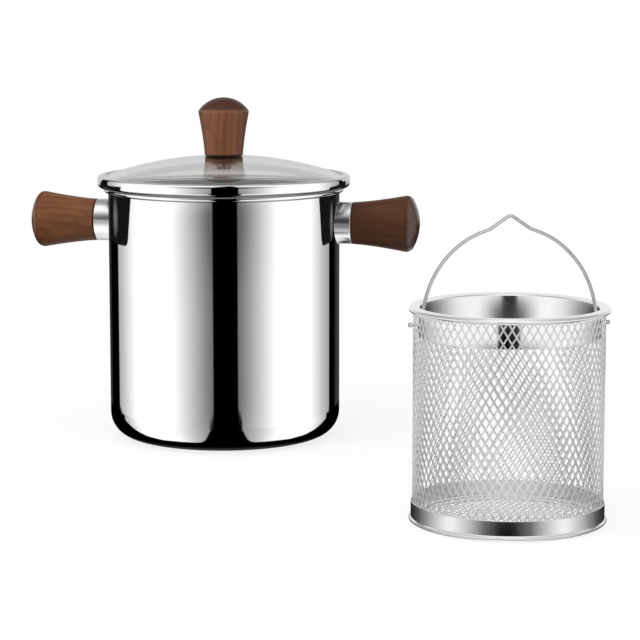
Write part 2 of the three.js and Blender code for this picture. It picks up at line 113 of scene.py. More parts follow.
# The right grip's depth, far below the left's, is painted shade: a darker copy of the same walnut for the grip
# on the side away from the light at the left
LEFT_LOOK = {"pith": (34, 21), "seed": 3.1, "depth": 0.78, "end_grain_and_shade": 0.3, "coat": 0.06, "sheen": 0.95}
RIGHT_LOOK = {"pith": (-29, 26), "seed": 8.7, "depth": 0.32, "end_grain_and_shade": 0.1, "coat": 0.04, "sheen": 0.95}
KNOB_LOOK = {"pith": (24, 31), "seed": 14.2, "depth": 0.98, "end_grain_and_shade": 0.85, "coat": 0.35, "sheen": 0.3}

BAND_RADIUS = 87.3
BAND_LOW = 173.8
BAND_TOP = 182.1
BAND_SHEET = 0.7
BAND_BASE = 1.8
BAND_TOP_ROUND = 2.3
BAND_LOW_ROUND = 2.8
CRIMP_RADIUS = 82.4
CRIMP_LOW = 181.42
SKIRT_OUTER = 78.2
SKIRT_INNER = 77.6
SKIRT_LOW = 167.2
SKIRT_FILLET = 0.8

GLASS_EDGE = 86.1
GLASS_TOP = 194.8
GLASS_THICKNESS = 4
GLASS_DOME = 250
GLASS_SEAT = 14
GLASS_HOLE = 4.2
GLASS_ROUND = 0.9

SEAL_GAP = 0.15
OVER_SEAL = {"radius": 12.6, "edge": 0.2}
UNDER_SEAL = {"radius": 9, "edge": 0.4, "tall": 1.2}
KNOB_WASHER = {"radius": 7.5, "edge": 0.3, "tall": 1}
SCREW = {"head": 5, "head_tall": 2.6, "edge": 1.2, "shank": 2.5, "chamfer": 0.8, "in_knob": 12}

BASKET_X = 213.2
BASKET_Y = -242.7
BASKET_TURN = math.radians(14)
NET_RADIUS = 56.05
NET_SHEET = 0.5
NET_COLUMNS = 72
NET_ROWS = 28
NET_LOW = 10.7
NET_HIGH = 125.5
NET_STRAND = 0.95
NET_LOW_EDGE = 3.7
NET_HIGH_EDGE = 126.2
NET_LEAN = 0.2
NET_DRIFT = math.radians(1.25)
NET_BULGE = 0.035
NET_HOLE_SHEET = 0.6
HALF_CELL_MIDDLE = 0.36
HALF_CELL_STRAND = 1.9
CELL_HALF_WIDE = NET_RADIUS * TURN / (2 * NET_COLUMNS)
CELL_HALF_TALL = (NET_HIGH - NET_LOW) / NET_ROWS

RIM_OPENING = 53
RIM_SHEET = 0.6
RIM_RADIUS = 59.4
RIM_TOP = 128.3
RIM_TALL = 3.6
RIM_CROWN = 0.5
RIM_OUTER_ROUND = 1.8
RIM_INNER_ROUND = 1.2
COLLAR_LOW = 110
LIP_RETURN = 1

BAND_INSIDE = 56.7
BAND_OUTSIDE = 57.2
BAND_EDGE_TOP = 12
FOOT_RADIUS = 58.4
FOOT_TALL = 2.8
FOOT_SHEET = 0.7
FOOT_INNER = 52.4
FOOT_CURL = 0.86
FOOT_STEP = 0.35
FLOOR_RADIUS = 54.7
FLOOR_MIDDLE = 1.35
FLOOR_SHEET = 0.5
FLOOR_STRAND = 0.9
FLOOR_LEAN = 0.18
CLAMP_LOW = 2
CLAMP_TALL = 1.4
CLAMP_INNER = 51.5
CLAMP_ROUND = 0.5

WIRE_RADIUS = 1.05
PIN_HEIGHT = 117.3
PIN_REACH = 59.8
PIN_HEAD_RADIUS = 1.35
PIN_HEAD = 2.2
BAIL_HALF_WIDTH = 51.6
BAIL_ARCH = 57
BAIL_RISE = 63.5
KINK_HALF_WIDTH = 12.4
BAIL_BEND = 2
TIP_SHARE = 0.1
KINK_PASSES = 5
HEAD_ROUNDING = ((0, 0.5), (0.12, 0.15), (0.4, 0))
HAIR = 0.02

# Mesh building


def arc(across, along, radius, start, stop, steps):
    """Points at centre + radius (cos angle, sin angle), for steps + 1 equal angles from start to stop."""
    angle = np.linspace(start, stop, steps + 1)
    return np.stack([across + radius * np.cos(angle), along + radius * np.sin(angle)], -1)


def outline(*runs):
    """Runs of [across, along] points joined into one array, without points that repeat the one before."""
    points = np.concatenate([np.reshape(np.asarray(run, float), (-1, 2)) for run in runs])
    apart = np.linalg.norm(np.diff(points, axis=0), axis=1) > 1e-6
    return points[np.concatenate([[True], apart])]


def held(section, closed):
    """Adds a point just inside both ends of each long straight step, so that only the rounds look bent."""
    after = np.roll(section, -1, axis=0)
    step = after - section
    length = np.linalg.norm(step, axis=1)
    long = length > LONG_STEP
    long[-1] &= closed
    hold = step / length[:, None] * HOLD
    three = np.stack([section, section + hold, after - hold], 1)
    return three[np.stack([np.ones_like(long), long, long], 1)]


def about_z(profile, columns):
    """A profile of [radius, height] turned about Z: (radius cos angle, radius sin angle, height)."""
    angle = np.arange(columns) / columns * TURN
    radius, height = np.asarray(profile, float).T[:, :, None]
    return np.stack([radius * np.cos(angle), radius * np.sin(angle), height + 0 * angle], -1)


def lay_along_x(points, side):
    """Turns +Z onto +X for side 1 or -X for side -1, as (side z, side x, y), and lifts to the handles."""
    x, y, z = np.moveaxis(points, -1, 0)
    return np.stack([side * z, side * x, y + HANDLE_HEIGHT], -1)


def in_basket(points):
    """Turns points by the basket's own turn about Z, and moves them to where the basket stands."""
    x, y, z = np.moveaxis(np.asarray(points, float), -1, 0)
    c, s = math.cos(BASKET_TURN), math.sin(BASKET_TURN)
    return np.stack([c * x - s * y + BASKET_X, s * x + c * y + BASKET_Y, z], -1)


def signed_volume(vertices, quads, triangles):
    """Sum over the faces' triangles of a . (b x c) / 6, which is positive when the faces point out."""
    corners = np.concatenate([quads[:, [0, 1, 2]], quads[:, [0, 2, 3]], triangles])
    a, b, c = (vertices[corners[:, k]] for k in range(3))
    return float(np.einsum("ij,ij->", a, np.cross(b, c)) / 6)


def mesh_of(name, points, faces):
    """A mesh of faces over points in millimetres."""
    mesh = bpy.data.meshes.new(name)
    mesh.from_pydata((points * MM).tolist(), [], faces)
    return mesh


def linked(name, data):
    """A new object in the scene."""
    made = bpy.data.objects.new(name, data)
    bpy.context.scene.collection.objects.link(made)
    return made


def smooth_object(name, mesh, crease):
    """A new object of the mesh, smooth but for edges sharper than crease degrees."""
    mesh.shade_smooth()
    mesh.set_sharp_from_angle(angle=math.radians(crease))
    return linked(name, mesh)


def piece(name, vertices, quads, triangles, crease):
    """One smooth object at the origin, from points in millimetres, with its faces turned outwards."""
    if signed_volume(vertices, quads, triangles) < 0:
        quads, triangles = quads[:, ::-1], triangles[:, ::-1]
    mesh = mesh_of(name, vertices, quads.tolist() + triangles.tolist())
    mesh.validate()
    return smooth_object(name, mesh, crease)


def grid_faces(index):
    """Quads between neighbouring rows of an index grid whose columns close round on themselves."""
    after = np.roll(index, -1, axis=1)
    corners = np.stack([index[:-1], after[:-1], after[1:], index[1:]], -1)
    return corners.reshape(-1, 4)


def capped(name, points, crease=CREASE):
    """A closed piece from rows of points that go round. The first and last rows shrink to one point each."""
    rows, columns, _ = points.shape
    index = np.arange((rows - 2) * columns).reshape(rows - 2, columns)
    after = np.roll(index, -1, axis=1)
    vertices = np.concatenate([points[1:-1].reshape(-1, 3), points[0, :1], points[-1, :1]])
    first = np.full(columns, len(vertices) - 2)
    last = np.full(columns, len(vertices) - 1)
    ends = [np.stack([first, after[0], index[0]], -1), np.stack([last, index[-1], after[-1]], -1)]
    return piece(name, vertices, grid_faces(index), np.concatenate(ends), crease)


def hooped(name, points):
    """A closed piece from rows of points that go round, with the last row joined to the first."""
    rows, columns, _ = points.shape
    index = np.arange(rows * columns).reshape(rows, columns)
    quads = grid_faces(np.concatenate([index, index[:1]]))
    return piece(name, points.reshape(-1, 3), quads, np.zeros((0, 3), int), CREASE)


def swept(name, route, radius, sides, place):
    """A round wire: at each point of the flat route a circle of that radius, across the route's direction.

    The route lies in the XZ plane. Its tangent comes from the neighbours on both sides. One axis of the
    circle is the tangent turned by a quarter in that plane, and the other is Y. A radius for each point
    closes the ends.
    """
    tangent = np.gradient(route, axis=0)
    tangent /= np.linalg.norm(tangent, axis=1)[:, None]
    angle = np.arange(sides) / sides * TURN
    across = np.stack([tangent[:, 1], -tangent[:, 0]], -1)[:, None] * np.cos(angle)[None, :, None]
    flat = route[:, None] + across * radius[:, None, None]
    depth = radius[:, None] * np.sin(angle)
    return capped(name, place(np.stack([flat[..., 0], depth, flat[..., 1]], -1)))


# Shader maths


def arithmetic(operation):
    """An operator's two methods: with the socket on its left, and with the socket on its right."""

    def forward(self, other):
        return self.graph.maths(operation, self, other)

    def reflected(self, other):
        return self.graph.maths(operation, other, self)

    return forward, reflected


class Socket:
    """An output of a node tree. Arithmetic on it adds the tree's own Math nodes."""

    __add__, __radd__ = arithmetic("ADD")
    __sub__, __rsub__ = arithmetic("SUBTRACT")
    __mul__, __rmul__ = arithmetic("MULTIPLY")
    __truediv__, __rtruediv__ = arithmetic("DIVIDE")

    def __init__(self, graph, output):
        self.graph = graph
        self.output = output

    def __abs__(self):
        return self.graph.maths("ABSOLUTE", self)


class Graph:
    """A node tree with one method that adds any node, and short forms of the nodes used most."""

    def __init__(self, tree):
        self.tree = tree
        tree.nodes.clear()

    def node(self, kind, sockets=None, output=0, stops=None, **settings):
        """Adds a node: its settings and ramp stops first, then the values or links of its sockets."""
        made = self.tree.nodes.new(kind)
        for name, value in settings.items():
            setattr(made, name, value)
        for place, (position, colour) in enumerate(stops or ()):
            if place >= 2:
                made.color_ramp.elements.new(position)
            made.color_ramp.elements[place].position = position
            made.color_ramp.elements[place].color = colour
        for key, value in (sockets or {}).items():
            if isinstance(value, Socket):
                self.tree.links.new(value.output, made.inputs[key])
            else:
                made.inputs[key].default_value = value
        return Socket(self, made.outputs[output]) if made.outputs else made

    def maths(self, operation, *values):
        return self.node("ShaderNodeMath", dict(enumerate(values)), operation=operation)

    def ease(self, value, low, high):
        """0 below low, 1 above high, and a smooth step between. With low above high it falls."""
        if low > high:
            return 1 - self.ease(value, high, low)
        sockets = {"Value": value, "From Min": low, "From Max": high}
        return self.node("ShaderNodeMapRange", sockets, interpolation_type="SMOOTHSTEP")

    def distance(self, along, across):
        """The root of the sum of two squares."""
        return self.maths("SQRT", along * along + across * across)

    def blend(self, factor, first, second):
        """A colour between two. The Mix node's sockets 0, 6 and 7 and its output 2 are those for colours."""
        return self.node("ShaderNodeMix", {0: factor, 6: first, 7: second}, output=2, data_type="RGBA")

    def vector(self, x, y, z):
        return self.node("ShaderNodeCombineXYZ", {0: x, 1: y, 2: z})

    def parts(self, vector):
        made = self.tree.nodes.new("ShaderNodeSeparateXYZ")
        self.tree.links.new(vector.output, made.inputs[0])
        return [Socket(self, output) for output in made.outputs]

    def noise(self, vector, scale, detail=3, roughness=0.5, distortion=0):
        sockets = {"Vector": vector, "Scale": scale, "Detail": detail}
        sockets |= {"Roughness": roughness, "Distortion": distortion}
        return self.node("ShaderNodeTexNoise", sockets)

    def ray(self, kind):
        return self.node("ShaderNodeLightPath", output=kind)

    def bump(self, height, strength, distance):
        return self.node("ShaderNodeBump", {"Height": height, "Strength": strength, "Distance": distance})


def grey(value):
    return (value, value, value, 1)


def steel_grey(shine, share=1):
    """A share of a shine as a colour, a touch bluer than grey."""
    return (shine * share, shine * (share + 0.005), shine * (share + 0.01), 1)


def level_ramp(graph, value, levels, reach=180):
    """Straight steps between (value, level) pairs, read off a ramp whose right end is reach."""
    stops = [(at / reach, grey(level)) for at, level in levels]
    return graph.node("ShaderNodeValToRGB", {"Fac": value / reach}, stops=stops)


def start_material(name):
    """A new material's graph, and its Object coordinates as a vector and as x, y and z in metres."""
    material = bpy.data.materials.new(name)
    material.use_nodes = True
    graph = Graph(material.node_tree)
    place = graph.node("ShaderNodeTexCoord", output="Object")
    return material, graph, place, graph.parts(place)


def close_material(material, graph, sockets):
    surface = graph.node("ShaderNodeBsdfPrincipled", sockets)
    graph.node("ShaderNodeOutputMaterial", {"Surface": surface})
    return material


def turned_steel(name, gloss, shine, centre_x=0, centre_y=0, seam_shades=()):
    """Stainless steel with fine lathe lines in its gloss, and faint cloudy wiping marks.

    gloss is its roughness where it is clean, and shine is how light its colour is. Each pair of heights
    in the seam list bounds a thin dark line of painted shade, in a joint where one part sits on another.
    """
    material, graph, place, (x, y, z) = start_material(name)
    out_x, out_y = x - centre_x * MM, y - centre_y * MM
    radius = graph.distance(out_x, out_y)
    lines = graph.noise(graph.vector(radius * 9000, 0, z * 9000), 1, detail=2)
    clouds = graph.noise(place, 38, detail=4, distortion=0.6)
    marks = graph.ease(clouds, 0.45, 0.75)
    roughness = gloss * (1 + lines * 0.4 + marks * 0.3)
    colour = graph.blend(marks * 0.5, steel_grey(shine), steel_grey(shine, 0.96))
    # Painted shade: a thin dark line between each pair of heights, where the joint's shade falls
    for low, high in seam_shades:
        start = graph.ease(z, (low - SEAM_SHADE_SOFT) * MM, (low + SEAM_SHADE_SOFT) * MM)
        stop = graph.ease(z, (high + SEAM_SHADE_SOFT) * MM, (high - SEAM_SHADE_SOFT) * MM)
        colour = graph.blend(start * stop * 0.85, colour, grey(0.03))
    sockets = {"Base Color": colour, "Metallic": 1.0, "Roughness": roughness}
    return close_material(material, graph, sockets)


def bright_wire(name, gloss, shine):
    """Electropolished steel of the net and the bail, with pulled grey streaks. shine is how light it is."""
    material, graph, place, (x, y, z) = start_material(name)
    streaks = graph.noise(graph.vector(x * 3, y * 3, z), 240, detail=3)
    spots = graph.noise(place, 900, detail=2)
    roughness = gloss + streaks * 0.1 + spots * 0.06
    colour = graph.blend(graph.ease(streaks, 0.3, 0.7), steel_grey(shine, 0.835), steel_grey(shine))
    bumps = graph.bump(spots, 0.08, 0.0001)
    sockets = {"Base Color": colour, "Metallic": 1.0, "Roughness": roughness, "Normal": bumps}
    return close_material(material, graph, sockets)


def machined_metal(name, low, high, roughness):
    """Turned steel or brass of the hidden fastenings, with tool marks."""
    material, graph, place, _ = start_material(name)
    marks = graph.noise(place, 1400, detail=3)
    colour = graph.blend(marks, (*low, 1), (*high, 1))
    sockets = {"Base Color": colour, "Metallic": 1.0, "Roughness": roughness + marks * 0.15}
    return close_material(material, graph, sockets)


def dark_wood(name, along, seat, dome, look):
    """Oiled walnut: growth rings round a far pith, long fibres, and short dark pores along the grain.

    The grain runs along X or Z, and seat and dome are where along it the piece starts and its dome begins.
    Ring number is the distance from the pith line, bent by slow noise. The dome is darker, partly because its
    end grain has drunk more oil and partly as painted shade, and a thin line at the seat is painted shade in
    the joint. In look, depth is how light the wood is, the end grain entry how dark its dome, coat how much
    oil it carries and sheen how polished its dome.
    """
    material, graph, _, (x, y, z) = start_material(name)
    if along == "X":
        grain, first, second = x, y, z - HANDLE_HEIGHT * MM
        reach = abs(x)
    else:
        grain, first, second = z, x, y
        reach = z
    seed = look["seed"]
    # The dome's mask darkens it, partly for end grain's oil and partly as painted shade, and also brings in
    # its coat; the seat's mask is a painted shade line in the joint
    dome_mask = graph.ease(reach, (dome - 0.8) * MM, (dome + 1.6) * MM)
    seat_shade = graph.ease(reach, (seat + 1.3) * MM, (seat + 0.4) * MM)
    first, second = first + look["pith"][0] * MM, second + look["pith"][1] * MM

    def along_grain(across_scale, along_scale, shift, detail, roughness=0.5):
        place = graph.vector(first * across_scale, second * across_scale, grain * along_scale + shift)
        return graph.noise(place, 1, detail=detail, roughness=roughness)

    slow = along_grain(30, 9, seed, 3)
    ring = graph.maths("FRACT", graph.distance(first, second) * 210 + slow * 2.6)
    late = graph.ease(ring, 0.35, 0.9) * graph.ease(ring, 1.0, 0.93)
    fibres = along_grain(1900, 60, seed, 4, roughness=0.6)
    bands = along_grain(160, 14, seed * 3, 3)
    pores = along_grain(2600, 130, seed * 7, 1)
    pore = graph.ease(pores, 0.64, 0.74)
    tone = graph.ease(fibres * 0.45 + bands * 0.55, 0.22, 0.8)
    pale = [part * look["depth"] for part in WOOD_PALE]
    dark = [part * look["depth"] for part in WOOD_DARK]
    base = graph.blend(tone, (*dark, 1), (*pale, 1))
    ringed = graph.blend(late * 0.25, base, (0.05, 0.016, 0.006, 1))
    pored = graph.blend(pore * 0.5, ringed, (0.025, 0.009, 0.004, 1))
    # Painted shade: the seat's line, and part of the dome's darkening
    oil_and_shade = dome_mask * look["end_grain_and_shade"] + seat_shade * 0.8
    colour = graph.blend(oil_and_shade, pored, (0.03, 0.01, 0.004, 1))
    roughness = 0.34 + fibres * 0.1 + pore * 0.2
    bumps = graph.bump(fibres * 0.5 - pore, 0.2, 0.0002)
    sockets = {
        "Base Color": colour,
        "Roughness": roughness,
        "Normal": bumps,
        "Specular IOR Level": 0.1,
        "Coat Weight": look["coat"] + dome_mask * (look["sheen"] - look["coat"]),
        "Coat Roughness": 0.22,
    }
    return close_material(material, graph, sockets)


def dark_silicone(name):
    """Dark matt silicone with a fine grain."""
    material, graph, place, _ = start_material(name)
    grain = graph.noise(place, 2200, detail=2)
    colour = graph.blend(grain, (0.02, 0.017, 0.015, 1), (0.035, 0.03, 0.026, 1))
    sockets = {"Base Color": colour, "Roughness": 0.5 + grain * 0.2, "Normal": graph.bump(grain, 0.1, 0.0001)}
    return close_material(material, graph, sockets)


def lid_glass_material(name):
    """Clear tempered glass, with a breath of wiping marks in its gloss."""
    material, graph, place, _ = start_material(name)
    wiped = graph.noise(place, 26, detail=4, distortion=1)
    sockets = {
        "Base Color": (0.867, 0.882, 0.877, 1),
        "Roughness": graph.ease(wiped, 0.5, 0.8) * 0.02,
        "Transmission Weight": 1.0,
        "IOR": 1.5,
    }
    return close_material(material, graph, sockets)


POT_STEEL = turned_steel("pot steel", 0.035, 0.9, seam_shades=POT_SEAM_SHADES)
FERRULE_STEEL = turned_steel("ferrule steel", 0.17, 0.9)
BASKET_STEEL = turned_steel("basket steel", 0.1, 0.88, BASKET_X, BASKET_Y)
NET_WIRE = bright_wire("net steel", 0.32, 0.84)
BAIL_WIRE = bright_wire("bail steel", 0.12, 0.66)
FASTENING_STEEL = machined_metal("fastening steel", (0.55, 0.56, 0.57), (0.68, 0.69, 0.7), 0.3)
BRASS = machined_metal("machined brass", (0.66, 0.5, 0.24), (0.8, 0.66, 0.38), 0.28)
GRIP_DOME = GRIP_SEAT + GRIP_DOME_ALONG
KNOB_DOME = KNOB_BASE + KNOB_DOME_ALONG
LEFT_WOOD = dark_wood("left grip walnut", "X", GRIP_SEAT, GRIP_DOME, LEFT_LOOK)
RIGHT_WOOD = dark_wood("right grip walnut", "X", GRIP_SEAT, GRIP_DOME, RIGHT_LOOK)
KNOB_WOOD = dark_wood("knob walnut", "Z", KNOB_BASE, KNOB_DOME, KNOB_LOOK)
SILICONE = dark_silicone("dark silicone")
GLASS = lid_glass_material("lid glass")

# Endings of the names of pieces that polished metal doesn't mirror
UNMIRRORED = ("_grip", "_sleeve", "_insert", "_stud", "_band")


def finish_piece(made, body, slot, material, *nodes):
    """Gives a new piece its material and the body it rides on, and hides the nodes that it stands for. slot is
    not used.

    The pot's steel doesn't mirror the basket, as they were photographed one at a time, nor the handles and
    the lid's band. Black cards stand for the grips in its wall, as painted reflections.
    """
    made.visible_glossy = body not in ("basket", "bail") and not made.name.endswith(UNMIRRORED)
    made.data.materials.clear()
    made.data.materials.append(material)
    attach(made, body)
    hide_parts(*nodes)


# The pot and its handles


def pot_profile():
    """Base, corner arc, straight wall, bead arc, rounded lip, straight inside, inner corner arc and floor."""
    inner_corner = POT_CORNER - POT_FLOOR
    bead_centre = POT_RADIUS + BEAD_REACH - BEAD_RADIUS
    meets_wall = -math.pi + math.acos((BEAD_REACH - BEAD_RADIUS) / BEAD_RADIUS)
    bead_top = BEAD_HEIGHT + BEAD_RADIUS
    return outline(
        [0, 0],
        [POT_RADIUS - POT_CORNER - BASE_HOLD, 0],
        arc(POT_RADIUS - POT_CORNER, POT_CORNER, POT_CORNER, -QUARTER, 0, 40),
        arc(bead_centre, BEAD_HEIGHT, BEAD_RADIUS, meets_wall, QUARTER, 22),
        arc(POT_INNER + LIP_ROUND, bead_top - LIP_ROUND, LIP_ROUND, QUARTER, math.pi, 10),
        arc(POT_INNER - inner_corner, POT_CORNER, inner_corner, 0, -QUARTER, 28),
        [0, POT_FLOOR],
    )


def from_wall(section, seam, columns):
    """A section of [radius, distance from the pot's axis] turned about X, whose near end follows the wall.

    Each row has a share of the way from the wall to the ferrule's end. At an angle round X its y is radius
    cos angle, the wall there is at x = root of ((wall radius + seam) squared - y squared), and the row lies
    at that share between this x and the ferrule's end.
    """
    radius = section[:, :1]
    share = (section[:, 1:] - POT_RADIUS) / (FERRULE_END - POT_RADIUS)
    angle = np.arange(columns) / columns * TURN
    y, z = radius * np.cos(angle), radius * np.sin(angle)
    wall = np.sqrt((POT_RADIUS + seam) ** 2 - y * y)
    return np.stack([wall + (FERRULE_END - wall) * share, y, z], -1)


def ferrule_section():
    """The sleeve: out along its outer skin, over a small round, and in to the hole of its end plate."""
    edge = arc(FERRULE_RADIUS - FERRULE_EDGE, FERRULE_END - FERRULE_EDGE, FERRULE_EDGE, 0, QUARTER, 6)
    plate_low = FERRULE_END - FERRULE_PLATE
    bore = FERRULE_RADIUS - FERRULE_WALL
    section = outline(
        [bore, POT_RADIUS],
        [FERRULE_RADIUS, POT_RADIUS],
        edge,
        [STUD_HOLE, FERRULE_END],
        [STUD_HOLE, plate_low],
        [bore, plate_low],
    )
    return held(section, True)


def stud_section():
    """A foot on the wall, a plain shank and a chamfered end, from the axis to the axis."""
    return outline(
        [0, POT_RADIUS],
        [STUD_FOOT_RADIUS, POT_RADIUS],
        [STUD_FOOT_RADIUS, POT_RADIUS + STUD_FOOT],
        [STUD_RADIUS, POT_RADIUS + STUD_FOOT],
        [STUD_RADIUS, STUD_END - STUD_CHAMFER],
        [STUD_RADIUS - STUD_CHAMFER, STUD_END],
        [0, STUD_END],
    )


def insert_profile(shape, seat):
    """A plain tube with square ends, sunk below the seat: the brass insert for a stud or the knob's screw."""
    bore, radius = shape["bore"], shape["radius"]
    start = seat + INSERT_SINK
    end = start + shape["length"]
    return outline([bore, start], [radius, start], [radius, end], [bore, end])


def on_side(points, side):
    """Turns a piece made about +X half round for the left side, and lifts it to the handles' height."""
    return points * [side, side, 1] + [0, 0, HANDLE_HEIGHT]


def wood_profile(shape, hole):
    """The stepped blind hole, the seat, a flare, a soft edge and a dome, as [radius, distance from the seat].

    Along the flare the radius is neck + (widest - neck) times the share of the way to a power. The soft edge
    is an arc that runs into the flare and the dome, and the dome is an arc about a centre on the axis.
    """
    neck, widest, edge, crown = (shape[key] for key in ("neck", "widest", "edge", "crown"))
    edge_radius = widest - edge
    dome_centre = shape["length"] - crown
    dome_angle = math.asin(edge_radius / (crown - edge))
    edge_along = dome_centre + (crown - edge) * math.cos(dome_angle)
    share = np.linspace(0, 1, 30)[1:-1]
    flare = np.stack([neck + (widest - neck) * share**FLARE_POWER, edge_along * share], -1)
    to_dome = QUARTER - dome_angle
    return outline(
        [0, hole["tip_depth"]],
        [hole["tip"], hole["tip_depth"]],
        [hole["tip"], hole["insert_depth"]],
        [hole["insert"], hole["insert_depth"]],
        [hole["insert"], 0],
        [neck - NECK_CHAMFER, 0],
        arc(neck - NECK_CHAMFER, NECK_CHAMFER, NECK_CHAMFER, -QUARTER, 0, 5),
        flare,
        arc(edge_radius, edge_along, edge, 0, to_dome, 12),
        arc(0, dome_centre, crown, to_dome, QUARTER, 18),
    )


pot_wall = capped("pot_wall_and_base", about_z(held(pot_profile(), False), POT_COLUMNS))
finish_piece(pot_wall, "pot", "polished_steel", POT_STEEL, "pot_shell")

for side, word, wood in ((-1, "left", LEFT_WOOD), (1, "right", RIGHT_WOOD)):
    sleeve = from_wall(ferrule_section(), FERRULE_SEAM, HANDLE_COLUMNS)
    ferrule = hooped(f"{word}_ferrule_sleeve", on_side(sleeve, side))
    finish_piece(ferrule, "pot", "polished_steel", FERRULE_STEEL, f"{word}_ferrule")
    shank = from_wall(stud_section(), STUD_SEAM, FASTENING_COLUMNS)
    stud = capped(f"{word}_wall_stud", on_side(shank, side))
    finish_piece(stud, "pot", "fastening_steel", FASTENING_STEEL, f"{word}_stud")
    tube = about_z(insert_profile(GRIP_INSERT, GRIP_SEAT), FASTENING_COLUMNS)
    insert = hooped(f"{word}_brass_insert", lay_along_x(tube, side))
    finish_piece(insert, "pot", "brass", BRASS, f"{word}_insert")
    turned = about_z(wood_profile(GRIP, GRIP_HOLE) + [0, GRIP_SEAT], HANDLE_COLUMNS)
    grip = capped(f"{word}_turned_grip", lay_along_x(turned, side), crease=WOOD_CREASE)
    finish_piece(grip, "pot", "dark_wood", wood, f"{word}_grip")

# The lid


def dome_drop(radius):
    """How far the dome lies below its seat: root(D^2 - seat^2) - root(D^2 - radius^2), or 0 on the seat."""
    flat = math.sqrt(GLASS_DOME**2 - GLASS_SEAT**2)
    return np.maximum(0, flat - np.sqrt(GLASS_DOME**2 - np.asarray(radius, float) ** 2))


def glass_profile():
    """Flat seat and dome below, a rounded edge, and the same above, as a closed section."""
    out = np.concatenate([[GLASS_HOLE], np.linspace(GLASS_SEAT, GLASS_EDGE - GLASS_ROUND, 40)])
    under = np.stack([out, GLASS_TOP - GLASS_THICKNESS - dome_drop(out)], -1)
    over = np.stack([out, GLASS_TOP - dome_drop(out)], -1)[::-1]
    low, high = under[-1, 1], over[0, 1]
    centre = GLASS_EDGE - GLASS_ROUND
    edge = outline(
        arc(centre, low + GLASS_ROUND, GLASS_ROUND, -QUARTER, 0, 6),
        arc(centre, high - GLASS_ROUND, GLASS_ROUND, 0, QUARTER, 6),
    )
    return outline(under, edge, over)


def band_profile():
    """The band: skirt, folded base on the pot's bead, outer wall, crimp over the glass, and back."""
    inside = BAND_RADIUS - BAND_SHEET
    tip = BAND_SHEET / 2
    inner_round = BAND_TOP_ROUND - BAND_SHEET
    low_round = BAND_LOW + BAND_LOW_ROUND
    top_round = BAND_TOP - BAND_TOP_ROUND
    skirt_half = (SKIRT_OUTER - SKIRT_INNER) / 2
    return outline(
        arc(SKIRT_INNER + skirt_half, SKIRT_LOW + skirt_half, skirt_half, -math.pi, 0, 6),
        [SKIRT_OUTER, BAND_LOW - SKIRT_FILLET],
        arc(SKIRT_OUTER + SKIRT_FILLET, BAND_LOW - SKIRT_FILLET, SKIRT_FILLET, math.pi, QUARTER, 5),
        arc(BAND_RADIUS - BAND_LOW_ROUND, low_round, BAND_LOW_ROUND, -QUARTER, 0, 16),
        arc(BAND_RADIUS - BAND_TOP_ROUND, top_round, BAND_TOP_ROUND, 0, QUARTER, 18),
        arc(CRIMP_RADIUS + tip, CRIMP_LOW + tip, tip, QUARTER, 3 * QUARTER, 6),
        arc(BAND_RADIUS - BAND_TOP_ROUND, top_round, inner_round, QUARTER, 0, 8),
        [inside, BAND_LOW + BAND_BASE],
        [SKIRT_INNER, BAND_LOW + BAND_BASE],
    )


def washer_profile(shape, low, high):
    """A flat ring's section with a small rounding at its outer edges."""
    radius, edge = shape["radius"], shape["edge"]
    return outline(
        [SCREW_HOLE, low],
        arc(radius - edge, low + edge, edge, -QUARTER, 0, 5),
        arc(radius - edge, high - edge, edge, 0, QUARTER, 5),
        [SCREW_HOLE, high],
    )


def screw_profile(head_high):
    """A pan head with a rounded edge, and a plain shank with a chamfered end, from the axis to the axis."""
    head, edge, shank, chamfer = (SCREW[key] for key in ("head", "edge", "shank", "chamfer"))
    head_low = head_high - SCREW["head_tall"]
    end = KNOB_BASE + SCREW["in_knob"]
    return outline(
        [0, head_low],
        arc(head - edge, head_low + edge, edge, -QUARTER, 0, 8),
        [head, head_high],
        [shank, head_high],
        [shank, end - chamfer],
        [shank - chamfer, end],
        [0, end],
    )


glass = hooped("lid_glass_dome", about_z(held(glass_profile(), True), LID_COLUMNS))
finish_piece(glass, "lid", "lid_glass", GLASS, "lid_glass")
band = hooped("lid_steel_band", about_z(held(band_profile(), True), LID_COLUMNS))
finish_piece(band, "lid", "polished_steel", POT_STEEL, "lid_band")
turned = about_z(wood_profile(KNOB, KNOB_HOLE) + [0, KNOB_BASE], HANDLE_COLUMNS)
knob = capped("lid_turned_knob", turned, crease=WOOD_CREASE)
finish_piece(knob, "lid", "dark_wood", KNOB_WOOD, "lid_knob")
tube = about_z(insert_profile(KNOB_INSERT, KNOB_BASE), FASTENING_COLUMNS)
finish_piece(hooped("knob_brass_insert", tube), "lid", "brass", BRASS, "knob_insert")

under_high = GLASS_TOP - GLASS_THICKNESS - SEAL_GAP
under_low = under_high - UNDER_SEAL["tall"]
washer_high = under_low - SEAL_GAP
washer_low = washer_high - KNOB_WASHER["tall"]
over_seal = washer_profile(OVER_SEAL, GLASS_TOP + SEAL_GAP, KNOB_BASE - SEAL_GAP)
under_seal = washer_profile(UNDER_SEAL, under_low, under_high)
washer = washer_profile(KNOB_WASHER, washer_low, washer_high)
for name, section, slot, material, node in (
    ("knob_seal_over_glass", over_seal, "silicone", SILICONE, "upper_gasket"),
    ("knob_seal_under_glass", under_seal, "silicone", SILICONE, "lower_gasket"),
    ("knob_washer_disc", washer, "fastening_steel", FASTENING_STEEL, "knob_washer"),
):
    finish_piece(hooped(name, about_z(section, SEAL_COLUMNS)), "lid", slot, material, node)
screw = capped("knob_pan_screw", about_z(screw_profile(washer_low - SEAL_GAP), FASTENING_COLUMNS))
finish_piece(screw, "lid", "fastening_steel", FASTENING_STEEL, "knob_screw")

# The basket


